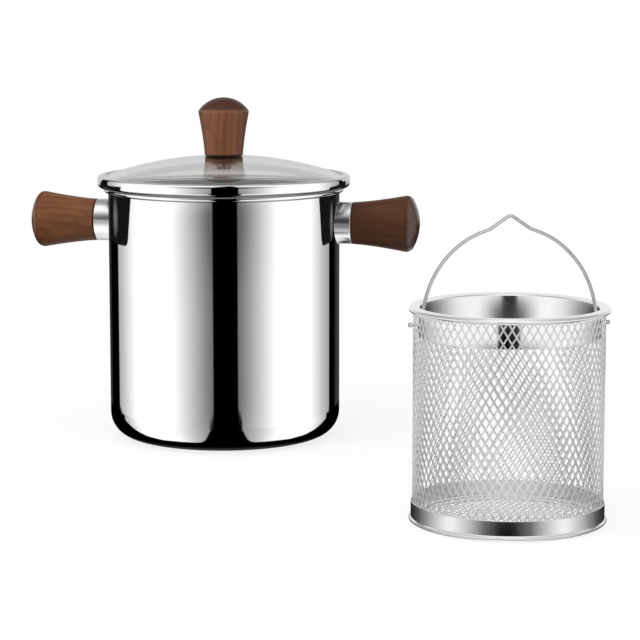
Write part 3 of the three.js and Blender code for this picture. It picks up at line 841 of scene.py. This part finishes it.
def net_cells(centres, edge, hole, lean, sheet, place):
    """Openings of expanded metal, each the same ring of faces round a hole, set at the given flat centres.

    A point of the sheet is (u, v, w): u across, v up, w out of the sheet. The ring goes from the middle line
    of the strands on the outer skin, to the hole's edge, through the sheet, and back to the middle line on
    the inner skin. The hole's edge is shifted along w by lean times v over the cell's half height, so the
    strands lie aslant, as they do in a sheet that was slit and pulled. place carries (u, v, w) into the
    basket.
    """
    count = len(edge)
    half = sheet / 2
    slant = lean * hole[:, 1] / np.abs(edge[:, 1]).max()
    rings = np.zeros((4, count, 3))
    rings[0, :, :2], rings[0, :, 2] = edge, half
    rings[1, :, :2], rings[1, :, 2] = hole, slant + half * NET_HOLE_SHEET
    rings[2, :, :2], rings[2, :, 2] = hole, slant - half * NET_HOLE_SHEET
    rings[3, :, :2], rings[3, :, 2] = edge, -half
    shift = np.zeros((len(centres), 1, 1, 3))
    shift[:, 0, 0, :2] = centres
    points = place(rings[None] + shift)
    index = np.arange(4 * count).reshape(4, count)
    quads = grid_faces(index)[None] + (np.arange(len(centres)) * 4 * count)[:, None, None]
    return points.reshape(-1, 3), quads.reshape(-1, 4)


def with_middles(corners):
    """Corners round a cell, each followed by the middle of the side that starts at it."""
    middles = (corners + np.roll(corners, -1, axis=0)) / 2
    return np.stack([corners, middles], 1).reshape(-1, 2)


def diamond(strand):
    """Eight points round a cell, and the eight of its hole.

    The cell's corners and middles of sides lie on the strands' middle lines. The hole is the cell drawn in
    until half of strand, the strand's width, is left. Its middles of sides are pushed out again by the
    bulge, so the strands are slim between their knots.
    """
    wide, tall = CELL_HALF_WIDE, CELL_HALF_TALL
    edge = with_middles(np.array([[-wide, 0], [0, -tall], [wide, 0], [0, tall]]))
    open_share = 1 - (strand / 2) * math.hypot(wide, tall) / (wide * tall)
    hole = edge * open_share
    hole[1::2] *= 1 + NET_BULGE
    return edge, hole


def half_diamond(way):
    """Six points round a half cell that hangs below its edge (way -1) or stands above it, and its hole.

    The hole is the half cell drawn in about a point at a share of its height, by a multiple of the strand.
    """
    tall = way * CELL_HALF_TALL
    edge = with_middles(np.array([[-CELL_HALF_WIDE, 0], [0, tall], [CELL_HALF_WIDE, 0]]))
    centre = np.array([0, tall * HALF_CELL_MIDDLE])
    return edge, centre + (edge - centre) * (1 - HALF_CELL_STRAND * NET_STRAND / CELL_HALF_TALL)


def welded(name, parts):
    """Parts of a net joined into one mesh, with the points that they share merged into one."""
    counts = np.cumsum([0] + [len(points) for points, _ in parts])
    vertices = np.concatenate([points for points, _ in parts])
    quads = np.concatenate([faces + start for (_, faces), start in zip(parts, counts)])
    mesh = mesh_of(name, vertices, quads.tolist())
    work = bmesh.new()
    work.from_mesh(mesh)
    bmesh.ops.remove_doubles(work, verts=work.verts, dist=2e-6)
    work.to_mesh(mesh)
    work.free()
    return smooth_object(name, mesh, NET_CREASE)


def on_wall(points):
    """Flat (u, v, w) onto the basket's round wall: angle u over the radius, radius + w out, and v up.

    The sheet is pulled a little unevenly: the angle gains a drift times its squared sine, none at the pins.
    """
    u, v, w = np.moveaxis(points, -1, 0)
    angle, radius = u / NET_RADIUS, NET_RADIUS + w
    angle = angle + NET_DRIFT * np.sin(angle) ** 2
    return in_basket(np.stack([radius * np.cos(angle), radius * np.sin(angle), v], -1))


def hem(height, free):
    """The plain edge above or below the cells: out of one skin, over the free edge, into the other."""
    count = 2 * NET_COLUMNS
    u = np.arange(count) * CELL_HALF_WIDE
    half = NET_SHEET / 2
    side = half if free > height else -half
    section = [(height, side), (free, side), (free, -side), (height, -side)]
    points = np.stack([np.stack([u, v + 0 * u, w + 0 * u], -1) for v, w in section])
    return on_wall(points).reshape(-1, 3), grid_faces(np.arange(4 * count).reshape(4, count))


def net_wall():
    """Cells on a staggered lattice: column plus row is even, so that a cell's middle lies over each pin."""
    column, row = np.meshgrid(np.arange(2 * NET_COLUMNS), np.arange(NET_ROWS + 1))
    whole = (column + row) % 2 == 0
    centre = np.stack([column * CELL_HALF_WIDE, NET_LOW + row * CELL_HALF_TALL], -1)
    middle = whole & (row > 0) & (row < NET_ROWS)
    edge, hole = diamond(NET_STRAND)
    low_edge, low_hole = half_diamond(1)
    high_edge, high_hole = half_diamond(-1)
    low_centres, high_centres = centre[whole & (row == 0)], centre[whole & (row == NET_ROWS)]
    return [
        net_cells(centre[middle], edge, hole, NET_LEAN, NET_SHEET, on_wall),
        net_cells(low_centres, low_edge[::-1], low_hole[::-1], 0, NET_SHEET, on_wall),
        net_cells(high_centres, high_edge, high_hole, 0, NET_SHEET, on_wall),
        hem(NET_LOW, NET_LOW_EDGE),
        hem(NET_HIGH, NET_HIGH_EDGE),
    ]


def on_floor(points):
    """Flat (u, v, w) onto the basket's floor, with what lies past its radius drawn in to it."""
    u, v, w = np.moveaxis(points, -1, 0)
    out = np.hypot(u, v)
    share = np.minimum(1, FLOOR_RADIUS / np.maximum(out, 1e-9))
    return in_basket(np.stack([u * share, v * share, FLOOR_MIDDLE + w], -1))


def net_floor():
    """Whole cells of the same lattice over the round floor. The outer ones end under the clamp ring."""
    across, along = int(FLOOR_RADIUS / CELL_HALF_WIDE), int(FLOOR_RADIUS / CELL_HALF_TALL)
    i, j = np.meshgrid(np.arange(-across, across + 1), np.arange(-along, along + 1))
    centre = np.stack([i * CELL_HALF_WIDE, j * CELL_HALF_TALL], -1)
    inside = np.hypot(centre[..., 0], centre[..., 1]) < FLOOR_RADIUS - CELL_HALF_WIDE
    keep = ((i + j) % 2 == 0) & inside
    edge, hole = diamond(FLOOR_STRAND)
    return [net_cells(centre[keep], edge, hole, FLOOR_LEAN, FLOOR_SHEET, on_floor)]


def rim_profile():
    """One sheet: up the collar, over the inner round, across the crowned lip, round its curl and under it."""
    lip_round = (RIM_TALL - RIM_CROWN) / 2
    outer_centre = RIM_RADIUS - RIM_OUTER_ROUND
    lip_middle = RIM_TOP - RIM_CROWN - lip_round
    inner_centre = RIM_OPENING + RIM_INNER_ROUND
    half = RIM_SHEET / 2
    inner_round = RIM_INNER_ROUND - RIM_SHEET
    inner_middle = RIM_TOP - RIM_CROWN - RIM_INNER_ROUND
    share = np.linspace(0, 1, 14)
    crown_across = outer_centre + (inner_centre - outer_centre) * share
    crown_height = RIM_TOP - RIM_CROWN * (2 * share - 1) ** 2
    return outline(
        arc(RIM_OPENING + half, COLLAR_LOW + half, half, -math.pi, 0, 6),
        arc(inner_centre, inner_middle, inner_round, math.pi, QUARTER, 6),
        arc(outer_centre, lip_middle, lip_round - RIM_SHEET, QUARTER, -QUARTER, 12),
        [outer_centre - LIP_RETURN, lip_middle - lip_round + RIM_SHEET],
        [outer_centre - LIP_RETURN, lip_middle - lip_round],
        arc(outer_centre, lip_middle, lip_round, -QUARTER, QUARTER, 20),
        np.stack([crown_across, crown_height], -1),
        arc(inner_centre, inner_middle, RIM_INNER_ROUND, QUARTER, math.pi, 12),
    )


def base_profile():
    """The base band outside the net, the foot that curls out below it, and the flange under the floor."""
    foot_round = FOOT_TALL / 2
    foot_centre = FOOT_RADIUS - foot_round
    edge = (BAND_OUTSIDE - BAND_INSIDE) / 2
    return outline(
        [FOOT_INNER, 0],
        arc(foot_centre, foot_round, foot_round, -QUARTER, QUARTER * FOOT_CURL, 16),
        [BAND_OUTSIDE, FOOT_TALL + FOOT_STEP],
        arc(BAND_OUTSIDE - edge, BAND_EDGE_TOP - edge, edge, 0, math.pi, 8),
        [BAND_INSIDE, FOOT_SHEET],
        [FOOT_INNER, FOOT_SHEET],
    )


def clamp_profile():
    """The ring on the floor's edge: flat below, with its two upper edges rounded."""
    high = CLAMP_LOW + CLAMP_TALL
    return outline(
        [CLAMP_INNER, CLAMP_LOW],
        [FLOOR_RADIUS, CLAMP_LOW],
        arc(FLOOR_RADIUS - CLAMP_ROUND, high - CLAMP_ROUND, CLAMP_ROUND, 0, QUARTER, 6),
        arc(CLAMP_INNER + CLAMP_ROUND, high - CLAMP_ROUND, CLAMP_ROUND, QUARTER, math.pi, 6),
    )


def bail_route():
    """The bail's middle line as [across, height]: pin, tight bend, part of an ellipse, kink and point.

    Past the kink the height rises with the share of the way to the middle as a straight line, rounded over
    at the top by a short parabola. The left half is the right half mirrored.
    """
    first = math.asin(BAIL_BEND / BAIL_ARCH)
    last = math.acos(KINK_HALF_WIDTH / BAIL_HALF_WIDTH)
    bend = arc(BAIL_HALF_WIDTH + BAIL_BEND, BAIL_BEND, BAIL_BEND, -QUARTER, -math.pi, 10)
    angle = np.linspace(first, last, 60)
    arch = np.stack([BAIL_HALF_WIDTH * np.cos(angle), BAIL_ARCH * np.sin(angle)], -1)
    kink_height = BAIL_ARCH * math.sin(last)
    share = np.linspace(0, 1, 26)[1:]
    across = KINK_HALF_WIDTH * (1 - share)
    slope = (BAIL_RISE - kink_height) / (1 - TIP_SHARE / 2)
    straight = slope * share
    rounded = slope * (share - np.maximum(0, share - 1 + TIP_SHARE) ** 2 / (2 * TIP_SHARE))
    height = kink_height + np.where(share < 1 - TIP_SHARE, straight, rounded)
    half = outline([PIN_REACH - PIN_HEAD, 0], [BAIL_HALF_WIDTH + 3 * BAIL_BEND, 0], bend, arch)
    half = np.concatenate([half, np.stack([across, height], -1)])
    return np.concatenate([half, half[-2::-1] * [-1, 1]])


def smoothed(route, passes):
    """Each pass moves every inner point half of the way to the middle of its neighbours."""
    for _ in range(passes):
        route[1:-1] = route[1:-1] / 2 + (route[:-2] + route[2:]) / 4
    return route


def bail_points():
    """The route with rounded kinks, its circle radii, and the two riveted heads as wider circles at the ends.

    Each row of inset is how far a circle of the head lies in from its end and in from its side. The circles
    are set a hair apart, so that the wire's tangent is known at each.
    """
    route = smoothed(bail_route(), KINK_PASSES)
    radius = np.full(len(route), float(WIRE_RADIUS))
    neck = PIN_HEAD_RADIUS - WIRE_RADIUS
    inset = np.array([(0, PIN_HEAD_RADIUS), *HEAD_ROUNDING, (PIN_HEAD, 0), (PIN_HEAD, neck)])
    outs = PIN_REACH - inset[:, 0] - np.linspace(0, HAIR, len(inset))
    wide = PIN_HEAD_RADIUS - inset[:, 1]
    right = np.stack([outs, 0 * outs], -1)
    left = right[::-1] * [-1, 1]
    return np.concatenate([right, route[1:-1], left]), np.concatenate([wide, radius[1:-1], wide[::-1]])


def placed_bail(points):
    return in_basket(points + [0, 0, PIN_HEIGHT])


wall = welded("basket_expanded_wall", net_wall())
finish_piece(wall, "basket", "bright_wire", NET_WIRE, "basket_net_wall")
floor_net = welded("basket_expanded_floor", net_floor())
finish_piece(floor_net, "basket", "bright_wire", NET_WIRE, "basket_net_floor")
for name, section, metal, node in (
    ("basket_rolled_rim", rim_profile(), BASKET_STEEL, "basket_rim"),
    ("basket_base_and_foot", base_profile(), BASKET_STEEL, "basket_base_band"),
    ("basket_floor_ring", clamp_profile(), NET_WIRE, "basket_clamp_ring"),
):
    ring = hooped(name, in_basket(about_z(held(section, True), BASKET_COLUMNS)))
    finish_piece(ring, "basket", "polished_steel", metal, node)
bail_line, bail_radius = bail_points()
bail = swept("bail_wire_loop", bail_line, bail_radius, WIRE_SIDES, placed_bail)
finish_piece(bail, "bail", "bright_wire", BAIL_WIRE, "basket_bail")

# The camera, with its place in metres and its focal length as a share of the picture's width
CAMERA_TURN = math.radians(8)
CAMERA_PITCH = math.radians(8.26)
CAMERA_PLACE = (0.2977, -1.6405, 0.322)
FOCAL_SHARE = 2410 / 640
SENSOR = 36
CLIP_START = 0.05

# The lamp, in metres and watts
LAMP_PLACE = (-1.1, -1.0, 1.5)
LAMP_TARGET = (0.05, -0.1, 0.08)
LAMP_SIZE = 0.9
LAMP_POWER = 6

# Sizes of the studio, in millimetres
PAPER_MIDDLE = (100, -100)
PAPER_RADIUS = 4000
PAPER_HEIGHT = -0.6
PAPER_GLOW = 0.82
POT_MIDDLE = (0, 0)
CARD_RADIUS = 175
CARD_HEIGHT = -0.3
CARD_NEAR = 78.5
CARD_BOW = 0.15
CARD_CORNER_TURN = 34
STUDIO_MIDDLE = (105, -120, 100)
STUDIO_RADIUS = 1560
TENT_MIDDLE = (BASKET_X, BASKET_Y, 90)
TENT_RADIUS = 160
BALL_ROWS = 48
STUDIO_COLUMNS = 96
# The grip cards, painted reflections of the grips in the pot's wall
GRIP_CARD_LOW = 129
GRIP_CARD_HIGH = 172
GRIP_CARD_ROUND = 9

# Light in the studio, as pairs of a place and a level. The place is in degrees up from straight below for
# LEAN and WALL, a share of the way through the fade for STRIPE, in millimetres for DISC, and in degrees round
# from the camera's direction for the others.
PANEL_STRENGTH = 1.12
STRIPE_SHIFT = 0.7
STRIPE_EDGE = (12.6, 13.4)
STRIPE_FADE = ((0, 0.02), (0.38, 0.03), (0.6, 0.13), (1.09, 1))
LEAN_LEVELS = (
    (0, 0.7), (10, 0.75), (31, 0.93), (50, 0.975), (67, 0.79), (77, 0.57), (82, 0.574), (86.9, 0.51),
    (87.4, 0.7), (91, 0.64), (98, 0.16), (103, 0.05), (133, 0.61), (151, 0.87), (170, 0.93),
)
SIDE_LEVELS = ((0, 1), (100, 1), (110, 0.76), (120, 0.52), (134, 0.34))
FLOOR_LEVELS = ((0, 0), (146, 0), (160, 0.045), (163, 0.05))
WALL_LEVELS = ((0, 0.05), (85, 0.6), (97, 0.6), (140, 0.26), (170, 0.58))
TENT_LEVELS = ((0, 1.1), (22, 1.02), (45, 0.66), (80, 0.42), (100, 0.46), (122, 0.8), (140, 0.9), (180, 0.88))
COLLAR_LEVELS = (
    (0, 0), (11, 0), (20, 0.12), (34, 0.6), (47, 0.95), (60, 1), (86, 0.78), (117, 0.3), (144, 0.06),
    (180, 0),
)
BASE_LEVELS = (
    (0, 0), (7, 0.01), (21, 0.14), (37, 0.6), (52, 0.95), (58, 0.95), (73, 0.62), (89, 0.28), (105, 0.1),
    (115, 0.05), (137, 0.01),
)
CARD_FIRST = 12.2
CARD_LAST = 130.6
CARD_LEVELS = (
    (0, 0.2), (CARD_FIRST, 0.2), (18, 0.28), (34, 0.55), (49, 0.91), (56, 1), (100, 1), (120, 0.52),
    (130, 0.4), (CARD_LAST, 0),
)
# How much further out than CARD_NEAR the floor card's painted shadow round the pot reaches, in hundreds of
# millimetres, by degrees round from the camera's direction
CARD_DARK = ((0, 0), (38, 0), (50, 0.03), (60, 0.09), (70, 0.17), (80, 0.25))
# The grey disc on each grip card, a painted reflection of the ferrule's end
DISC_LEVELS = ((0, 0.2), (14, 0.04), (15.5, 0))


def stage_sheet(name, points, material):
    """A sheet of the set, of one polygon round points in millimetres."""
    mesh = mesh_of(name, points, [list(range(len(points)))])
    mesh.materials.append(material)
    sheet = linked(name, mesh)
    return sheet


def ring_points(middle, radius, height):
    """Points of a level circle: a flat round sheet's edge."""
    ring = arc(*middle, radius, 0, TURN, STUDIO_COLUMNS)[:-1]
    return np.concatenate([ring, np.full((len(ring), 1), height)], -1)


def seen_by_metal_alone(made):
    made.visible_camera = False
    made.visible_diffuse = False
    made.visible_transmission = False
    made.visible_volume_scatter = False
    made.visible_shadow = False


def floor_material():
    """White paper. Most of the light that the camera sees from it is its own, and all of it far out."""
    material, graph, _, (x, y, _) = start_material("white floor")
    out = graph.distance(x - PAPER_MIDDLE[0] * MM, y - PAPER_MIDDLE[1] * MM)
    far = graph.ease(out, 0.35, 0.8)
    paper = graph.node("ShaderNodeBsdfDiffuse", {"Color": grey(0.95)})
    glow = graph.node("ShaderNodeEmission", {"Color": grey(1)})
    factor = graph.ray("Is Camera Ray") * (PAPER_GLOW + far * (1 - PAPER_GLOW))
    surface = graph.node("ShaderNodeMixShader", {0: factor, 1: paper, 2: glow})
    graph.node("ShaderNodeOutputMaterial", {"Surface": surface})
    return material


def glow_material(name, level_at):
    """A material that gives its own light. level_at gives the light's level and how clear the sheet is."""
    material, graph, _, place = start_material(name)
    level, clear = level_at(graph, *place)
    glow = graph.node("ShaderNodeEmission", {"Color": level})
    opening = graph.node("ShaderNodeBsdfTransparent", {"Color": grey(1)})
    surface = graph.node("ShaderNodeMixShader", {0: clear, 1: glow, 2: opening})
    graph.node("ShaderNodeOutputMaterial", {"Surface": surface})
    material.cycles.emission_sampling = "NONE"
    return material


def azimuth_from(graph, x, y, middle):
    """Degrees round to the right from the camera's direction, as seen from a middle in millimetres."""
    middle_x, middle_y = middle[0] * MM, middle[1] * MM
    ahead = CAMERA_PLACE[0] - middle_x, CAMERA_PLACE[1] - middle_y
    toward_x, toward_y = (part / math.hypot(*ahead) for part in ahead)
    x, y = x - middle_x, y - middle_y
    toward = x * toward_x + y * toward_y
    right = x * -toward_y + y * toward_x
    return graph.maths("ARCTAN2", right, toward) * (180 / math.pi)


def height_from(graph, z, middle, radius):
    """Degrees above the horizon, on a ball of that radius round a middle in millimetres."""
    return graph.maths("ARCSINE", (z - middle[2] * MM) / (radius * MM)) * (180 / math.pi)


def panel_front(graph, azimuth, lean, widen):
    """The panels' level in front: a narrow black card that widen adds to, then a dark fade that lean sets."""
    front = level_ramp(graph, graph.distance(azimuth / 58, lean), STRIPE_FADE, reach=1.3)
    return front * graph.ease(azimuth - widen, *STRIPE_EDGE)


def under_ferrules(graph, x, y):
    """Where the strips of light under the ferrules are, for rays that come down from that far up alone."""
    length = graph.ray("Ray Length")
    from_side = graph.ease(length, 0.09, 0.1) * graph.ease(y, 0.045, 0.035)
    from_high = graph.maths("MAXIMUM", graph.ease(length, 0.135, 0.15), from_side)
    out = abs(x)
    strip = graph.ease(out, 0.08, 0.084) * graph.ease(out, 0.13, 0.126) * from_high
    return strip * graph.ease(y, -0.085, -0.075) * graph.ease(y, 0.097, 0.09)


def floor_card_level(graph, x, y, _):
    """What the pot's rounded lower corner sees: the panels and the black card carried on over the floor.

    A ray that leaves the wall at an angle w from the camera's direction, and so lands at the angle a and the
    radius r, came from a direction 2w, which is near a r / (r - half the pot's radius). Near the pot the
    floor is black, a painted shadow of the pot as its corner mirrors it, and the black reaches further out on
    its far sides, with rounded corners beside the black card's stripe. A light strip lies under each ferrule,
    and the card turns clear near its own edge.
    """
    out = graph.distance(x, y) * (1 / MM)
    around = abs(azimuth_from(graph, x, y, POT_MIDDLE) - STRIPE_SHIFT)
    azimuth = around * out / (out - POT_RADIUS / 2)
    level = level_ramp(graph, azimuth, CARD_LEVELS)
    # Painted shadow: where beyond is below zero, round the pot, the card is black, and under lifts it to a
    # faint grey right beneath the pot
    beyond = out - CARD_NEAR - level_ramp(graph, around, CARD_DARK) * 100
    corner_in = 1 / (1 + CARD_BOW * graph.maths("SQRT", graph.maths("MAXIMUM", beyond, 0)))
    to_edge = graph.maths("MINIMUM", azimuth - CARD_FIRST, CARD_LAST - azimuth)
    corner_side = graph.maths("MAXIMUM", 1 - to_edge / CARD_CORNER_TURN, 0)
    rounded = graph.distance(corner_in, corner_side)
    shown = graph.ease(rounded, 1.03, 0.97) * graph.ease(beyond, -0.5, 0.8)
    under = graph.ease(out, 73, 66) * 0.05
    value = graph.maths("MAXIMUM", level * shown + under, under_ferrules(graph, x, y) * 0.85) * PANEL_STRENGTH
    return value, graph.ease(out, 165, 172)


def studio_level(graph, x, y, z):
    """What polished metal sees, by direction from the middle of the set, with the camera's direction as zero.

    A narrow black card stands in front, with a soft dark fade round it. Bright panels stand at both sides
    and dim towards their far ends, with dark gaps behind them, and a grey wall over a dark floor closes the
    back.
    """
    turned = azimuth_from(graph, x, y, STUDIO_MIDDLE) - STRIPE_SHIFT
    azimuth = abs(turned)
    height = height_from(graph, z, STUDIO_MIDDLE, STUDIO_RADIUS)
    lean = level_ramp(graph, height + 90, LEAN_LEVELS)
    lit = panel_front(graph, azimuth, lean, 4.2 * graph.ease(height, -13.2, -14))
    lit = lit * level_ramp(graph, azimuth, SIDE_LEVELS)
    left = graph.ease(turned, 1, -1) * (6 + 10 * graph.ease(height, -11.6, -12.5))
    past_edge = azimuth + left + 3 * graph.ease(height, -12.6, -13.4)
    gap = graph.ease(past_edge, 133.4, 134.6) * graph.ease(height, 45, 15)
    above = graph.ease(height, -2.2, -1.6)
    behind = graph.ease(azimuth, 142, 144)
    back = behind * above
    floor = level_ramp(graph, azimuth, FLOOR_LEVELS) * (1 - above)
    floor = floor + behind * graph.ease(height, -16, -20) * 0.5
    wall = level_ramp(graph, height + 90, WALL_LEVELS)
    lit = lit * (1 - gap) + floor * gap
    return (lit * (1 - back) + wall * back) * PANEL_STRENGTH, 0.0


def tent_level(graph, x, y, z):
    """The basket's own light tent: pale, with belts that are dark in front.

    The collar's inside sees the inner belt, its outside behind the net sees the outer belt with a narrow
    black card, the base band sees the lower belt, and the lowest belt is a little darker than the rest. The
    tent shows only to rays that start inside it.
    """
    azimuth = abs(azimuth_from(graph, x, y, TENT_MIDDLE))
    height = height_from(graph, z, TENT_MIDDLE, TENT_RADIUS)
    over = height - 2 - 3.2 * graph.ease(azimuth, 50, 100)
    inner_belt = graph.ease(height, -9, -7) * graph.ease(over, 0.4, -0.4)
    outer_belt = graph.ease(over, -0.4, 0.4) * graph.ease(height, 12, 9)
    lower_belt = graph.ease(height, -33, -35) * graph.ease(height, -45, -43)
    lowest_belt = graph.ease(height, -43, -45) * graph.ease(height, -55, -52)
    inner = level_ramp(graph, azimuth, COLLAR_LEVELS) * 1.08
    outer = graph.ease(azimuth, 10.5, 12.5) * 1.05
    lower = level_ramp(graph, azimuth, BASE_LEVELS) * 1.05
    bare = 1 - inner_belt - outer_belt - lower_belt - lowest_belt * 0.4
    pale = level_ramp(graph, azimuth, TENT_LEVELS) * bare
    inside = graph.node("ShaderNodeNewGeometry", output="Backfacing")
    outside = graph.maths("MINIMUM", 1 - inside + graph.ray("Transparent Depth"), 1)
    return pale + inner * inner_belt + outer * outer_belt + lower * lower_belt, outside


def stage_ball(name, middle, radius, level):
    """A ball round a middle, whose rows are circles of latitude, seen by polished metal alone."""
    profile = arc(0, 0, radius, -QUARTER, QUARTER, BALL_ROWS)
    ball = capped(name, about_z(profile, STUDIO_COLUMNS) + np.array(middle))
    ball.data.materials.append(glow_material(name, level))
    seen_by_metal_alone(ball)


def grip_card(name, x, near, far, lean, disc_place):
    """A black card beyond a grip, upright across X, whose lower front corner is rounded off. It is a painted
    reflection: the pot's wall mirrors it in place of the grip, which the steel doesn't mirror.

    near is where its front edge is at the top, lean how much further back it is below, and far where its
    back edge is, along Y. A grey disc on it, at a place of [y, z], is a painted reflection of the ferrule's
    end.
    """
    front, bend = near + lean + GRIP_CARD_ROUND, GRIP_CARD_LOW + GRIP_CARD_ROUND
    rounded = arc(front, bend, GRIP_CARD_ROUND, math.pi, 3 * QUARTER, 12)
    edge = outline(rounded, [far, GRIP_CARD_LOW], [far, GRIP_CARD_HIGH], [near, GRIP_CARD_HIGH])
    points = np.insert(edge, 0, x, axis=1)

    def level(graph, _, y, z):
        out = graph.distance(y - disc_place[0] * MM, z - disc_place[1] * MM) * (1 / MM)
        return 0.008 + level_ramp(graph, out, DISC_LEVELS, reach=20), 0.0

    seen_by_metal_alone(stage_sheet(name, points, glow_material(name, level)))


def plain_light(graph):
    """What matt surfaces are lit by: brighter from above, from the front and from the left."""
    x, y, z = graph.parts(graph.node("ShaderNodeTexCoord", output="Generated"))
    return graph.maths("MAXIMUM", 0.36 + z * 0.9 - y * 0.72 - x * 0.14, 0.03)


def studio_world():
    """White to the camera, through glass and in gloss, and a plain level of light to matt surfaces."""
    world = bpy.data.worlds.new("studio")
    bpy.context.scene.world = world
    world.use_nodes = True
    graph = Graph(world.node_tree)
    white = graph.maths("MAXIMUM", graph.ray("Is Camera Ray"), graph.ray("Is Transmission Ray"))
    white = graph.maths("MAXIMUM", white, graph.ray("Is Glossy Ray"))
    value = white + plain_light(graph) * (1 - white)
    background = graph.node("ShaderNodeBackground", {"Color": value})
    graph.node("ShaderNodeOutputWorld", {"Surface": background})
    world.cycles.sampling_method = "NONE"


def soft_lamp(name, place, target, size, power):
    """A round lamp that looks at its target and isn't seen itself."""
    light = bpy.data.lights.new(name, "AREA")
    light.shape = "DISK"
    light.size = size
    light.energy = power
    lamp = linked(name, light)
    lamp.location = place
    away = np.array(target) - place
    flat = math.hypot(away[0], away[1])
    lamp.rotation_euler = (math.atan2(flat, -away[2]), 0, math.atan2(-away[0], away[1]))
    lamp.visible_camera = False
    lamp.visible_glossy = False
    lamp.visible_transmission = False


paper_edge = ring_points(PAPER_MIDDLE, PAPER_RADIUS, PAPER_HEIGHT)
white_floor = stage_sheet("white_floor", paper_edge, floor_material())
white_floor.visible_glossy = False
white_floor.visible_diffuse = False
studio_world()
stage_ball("studio_shell", STUDIO_MIDDLE, STUDIO_RADIUS, studio_level)
stage_ball("basket_tent", TENT_MIDDLE, TENT_RADIUS, tent_level)
card_edge = ring_points(POT_MIDDLE, CARD_RADIUS, CARD_HEIGHT)
seen_by_metal_alone(stage_sheet("floor_card", card_edge, glow_material("floor card", floor_card_level)))
grip_card("left_grip_card", -130, -56, 32, 11, (6, 147.5))
grip_card("right_grip_card", 130, -6, 90, 9, (56, 143))
soft_lamp("soft_lamp_upper_left", LAMP_PLACE, LAMP_TARGET, LAMP_SIZE, LAMP_POWER)

camera_data = bpy.data.cameras.new("camera")
camera_data.sensor_width = SENSOR
camera_data.lens = FOCAL_SHARE * SENSOR
camera_data.clip_start = CLIP_START
camera = linked("camera", camera_data)
camera.location = CAMERA_PLACE
camera.rotation_euler = (QUARTER - CAMERA_PITCH, 0, CAMERA_TURN)
bpy.context.scene.camera = camera
bpy.context.scene.view_settings.view_transform = "Standard"
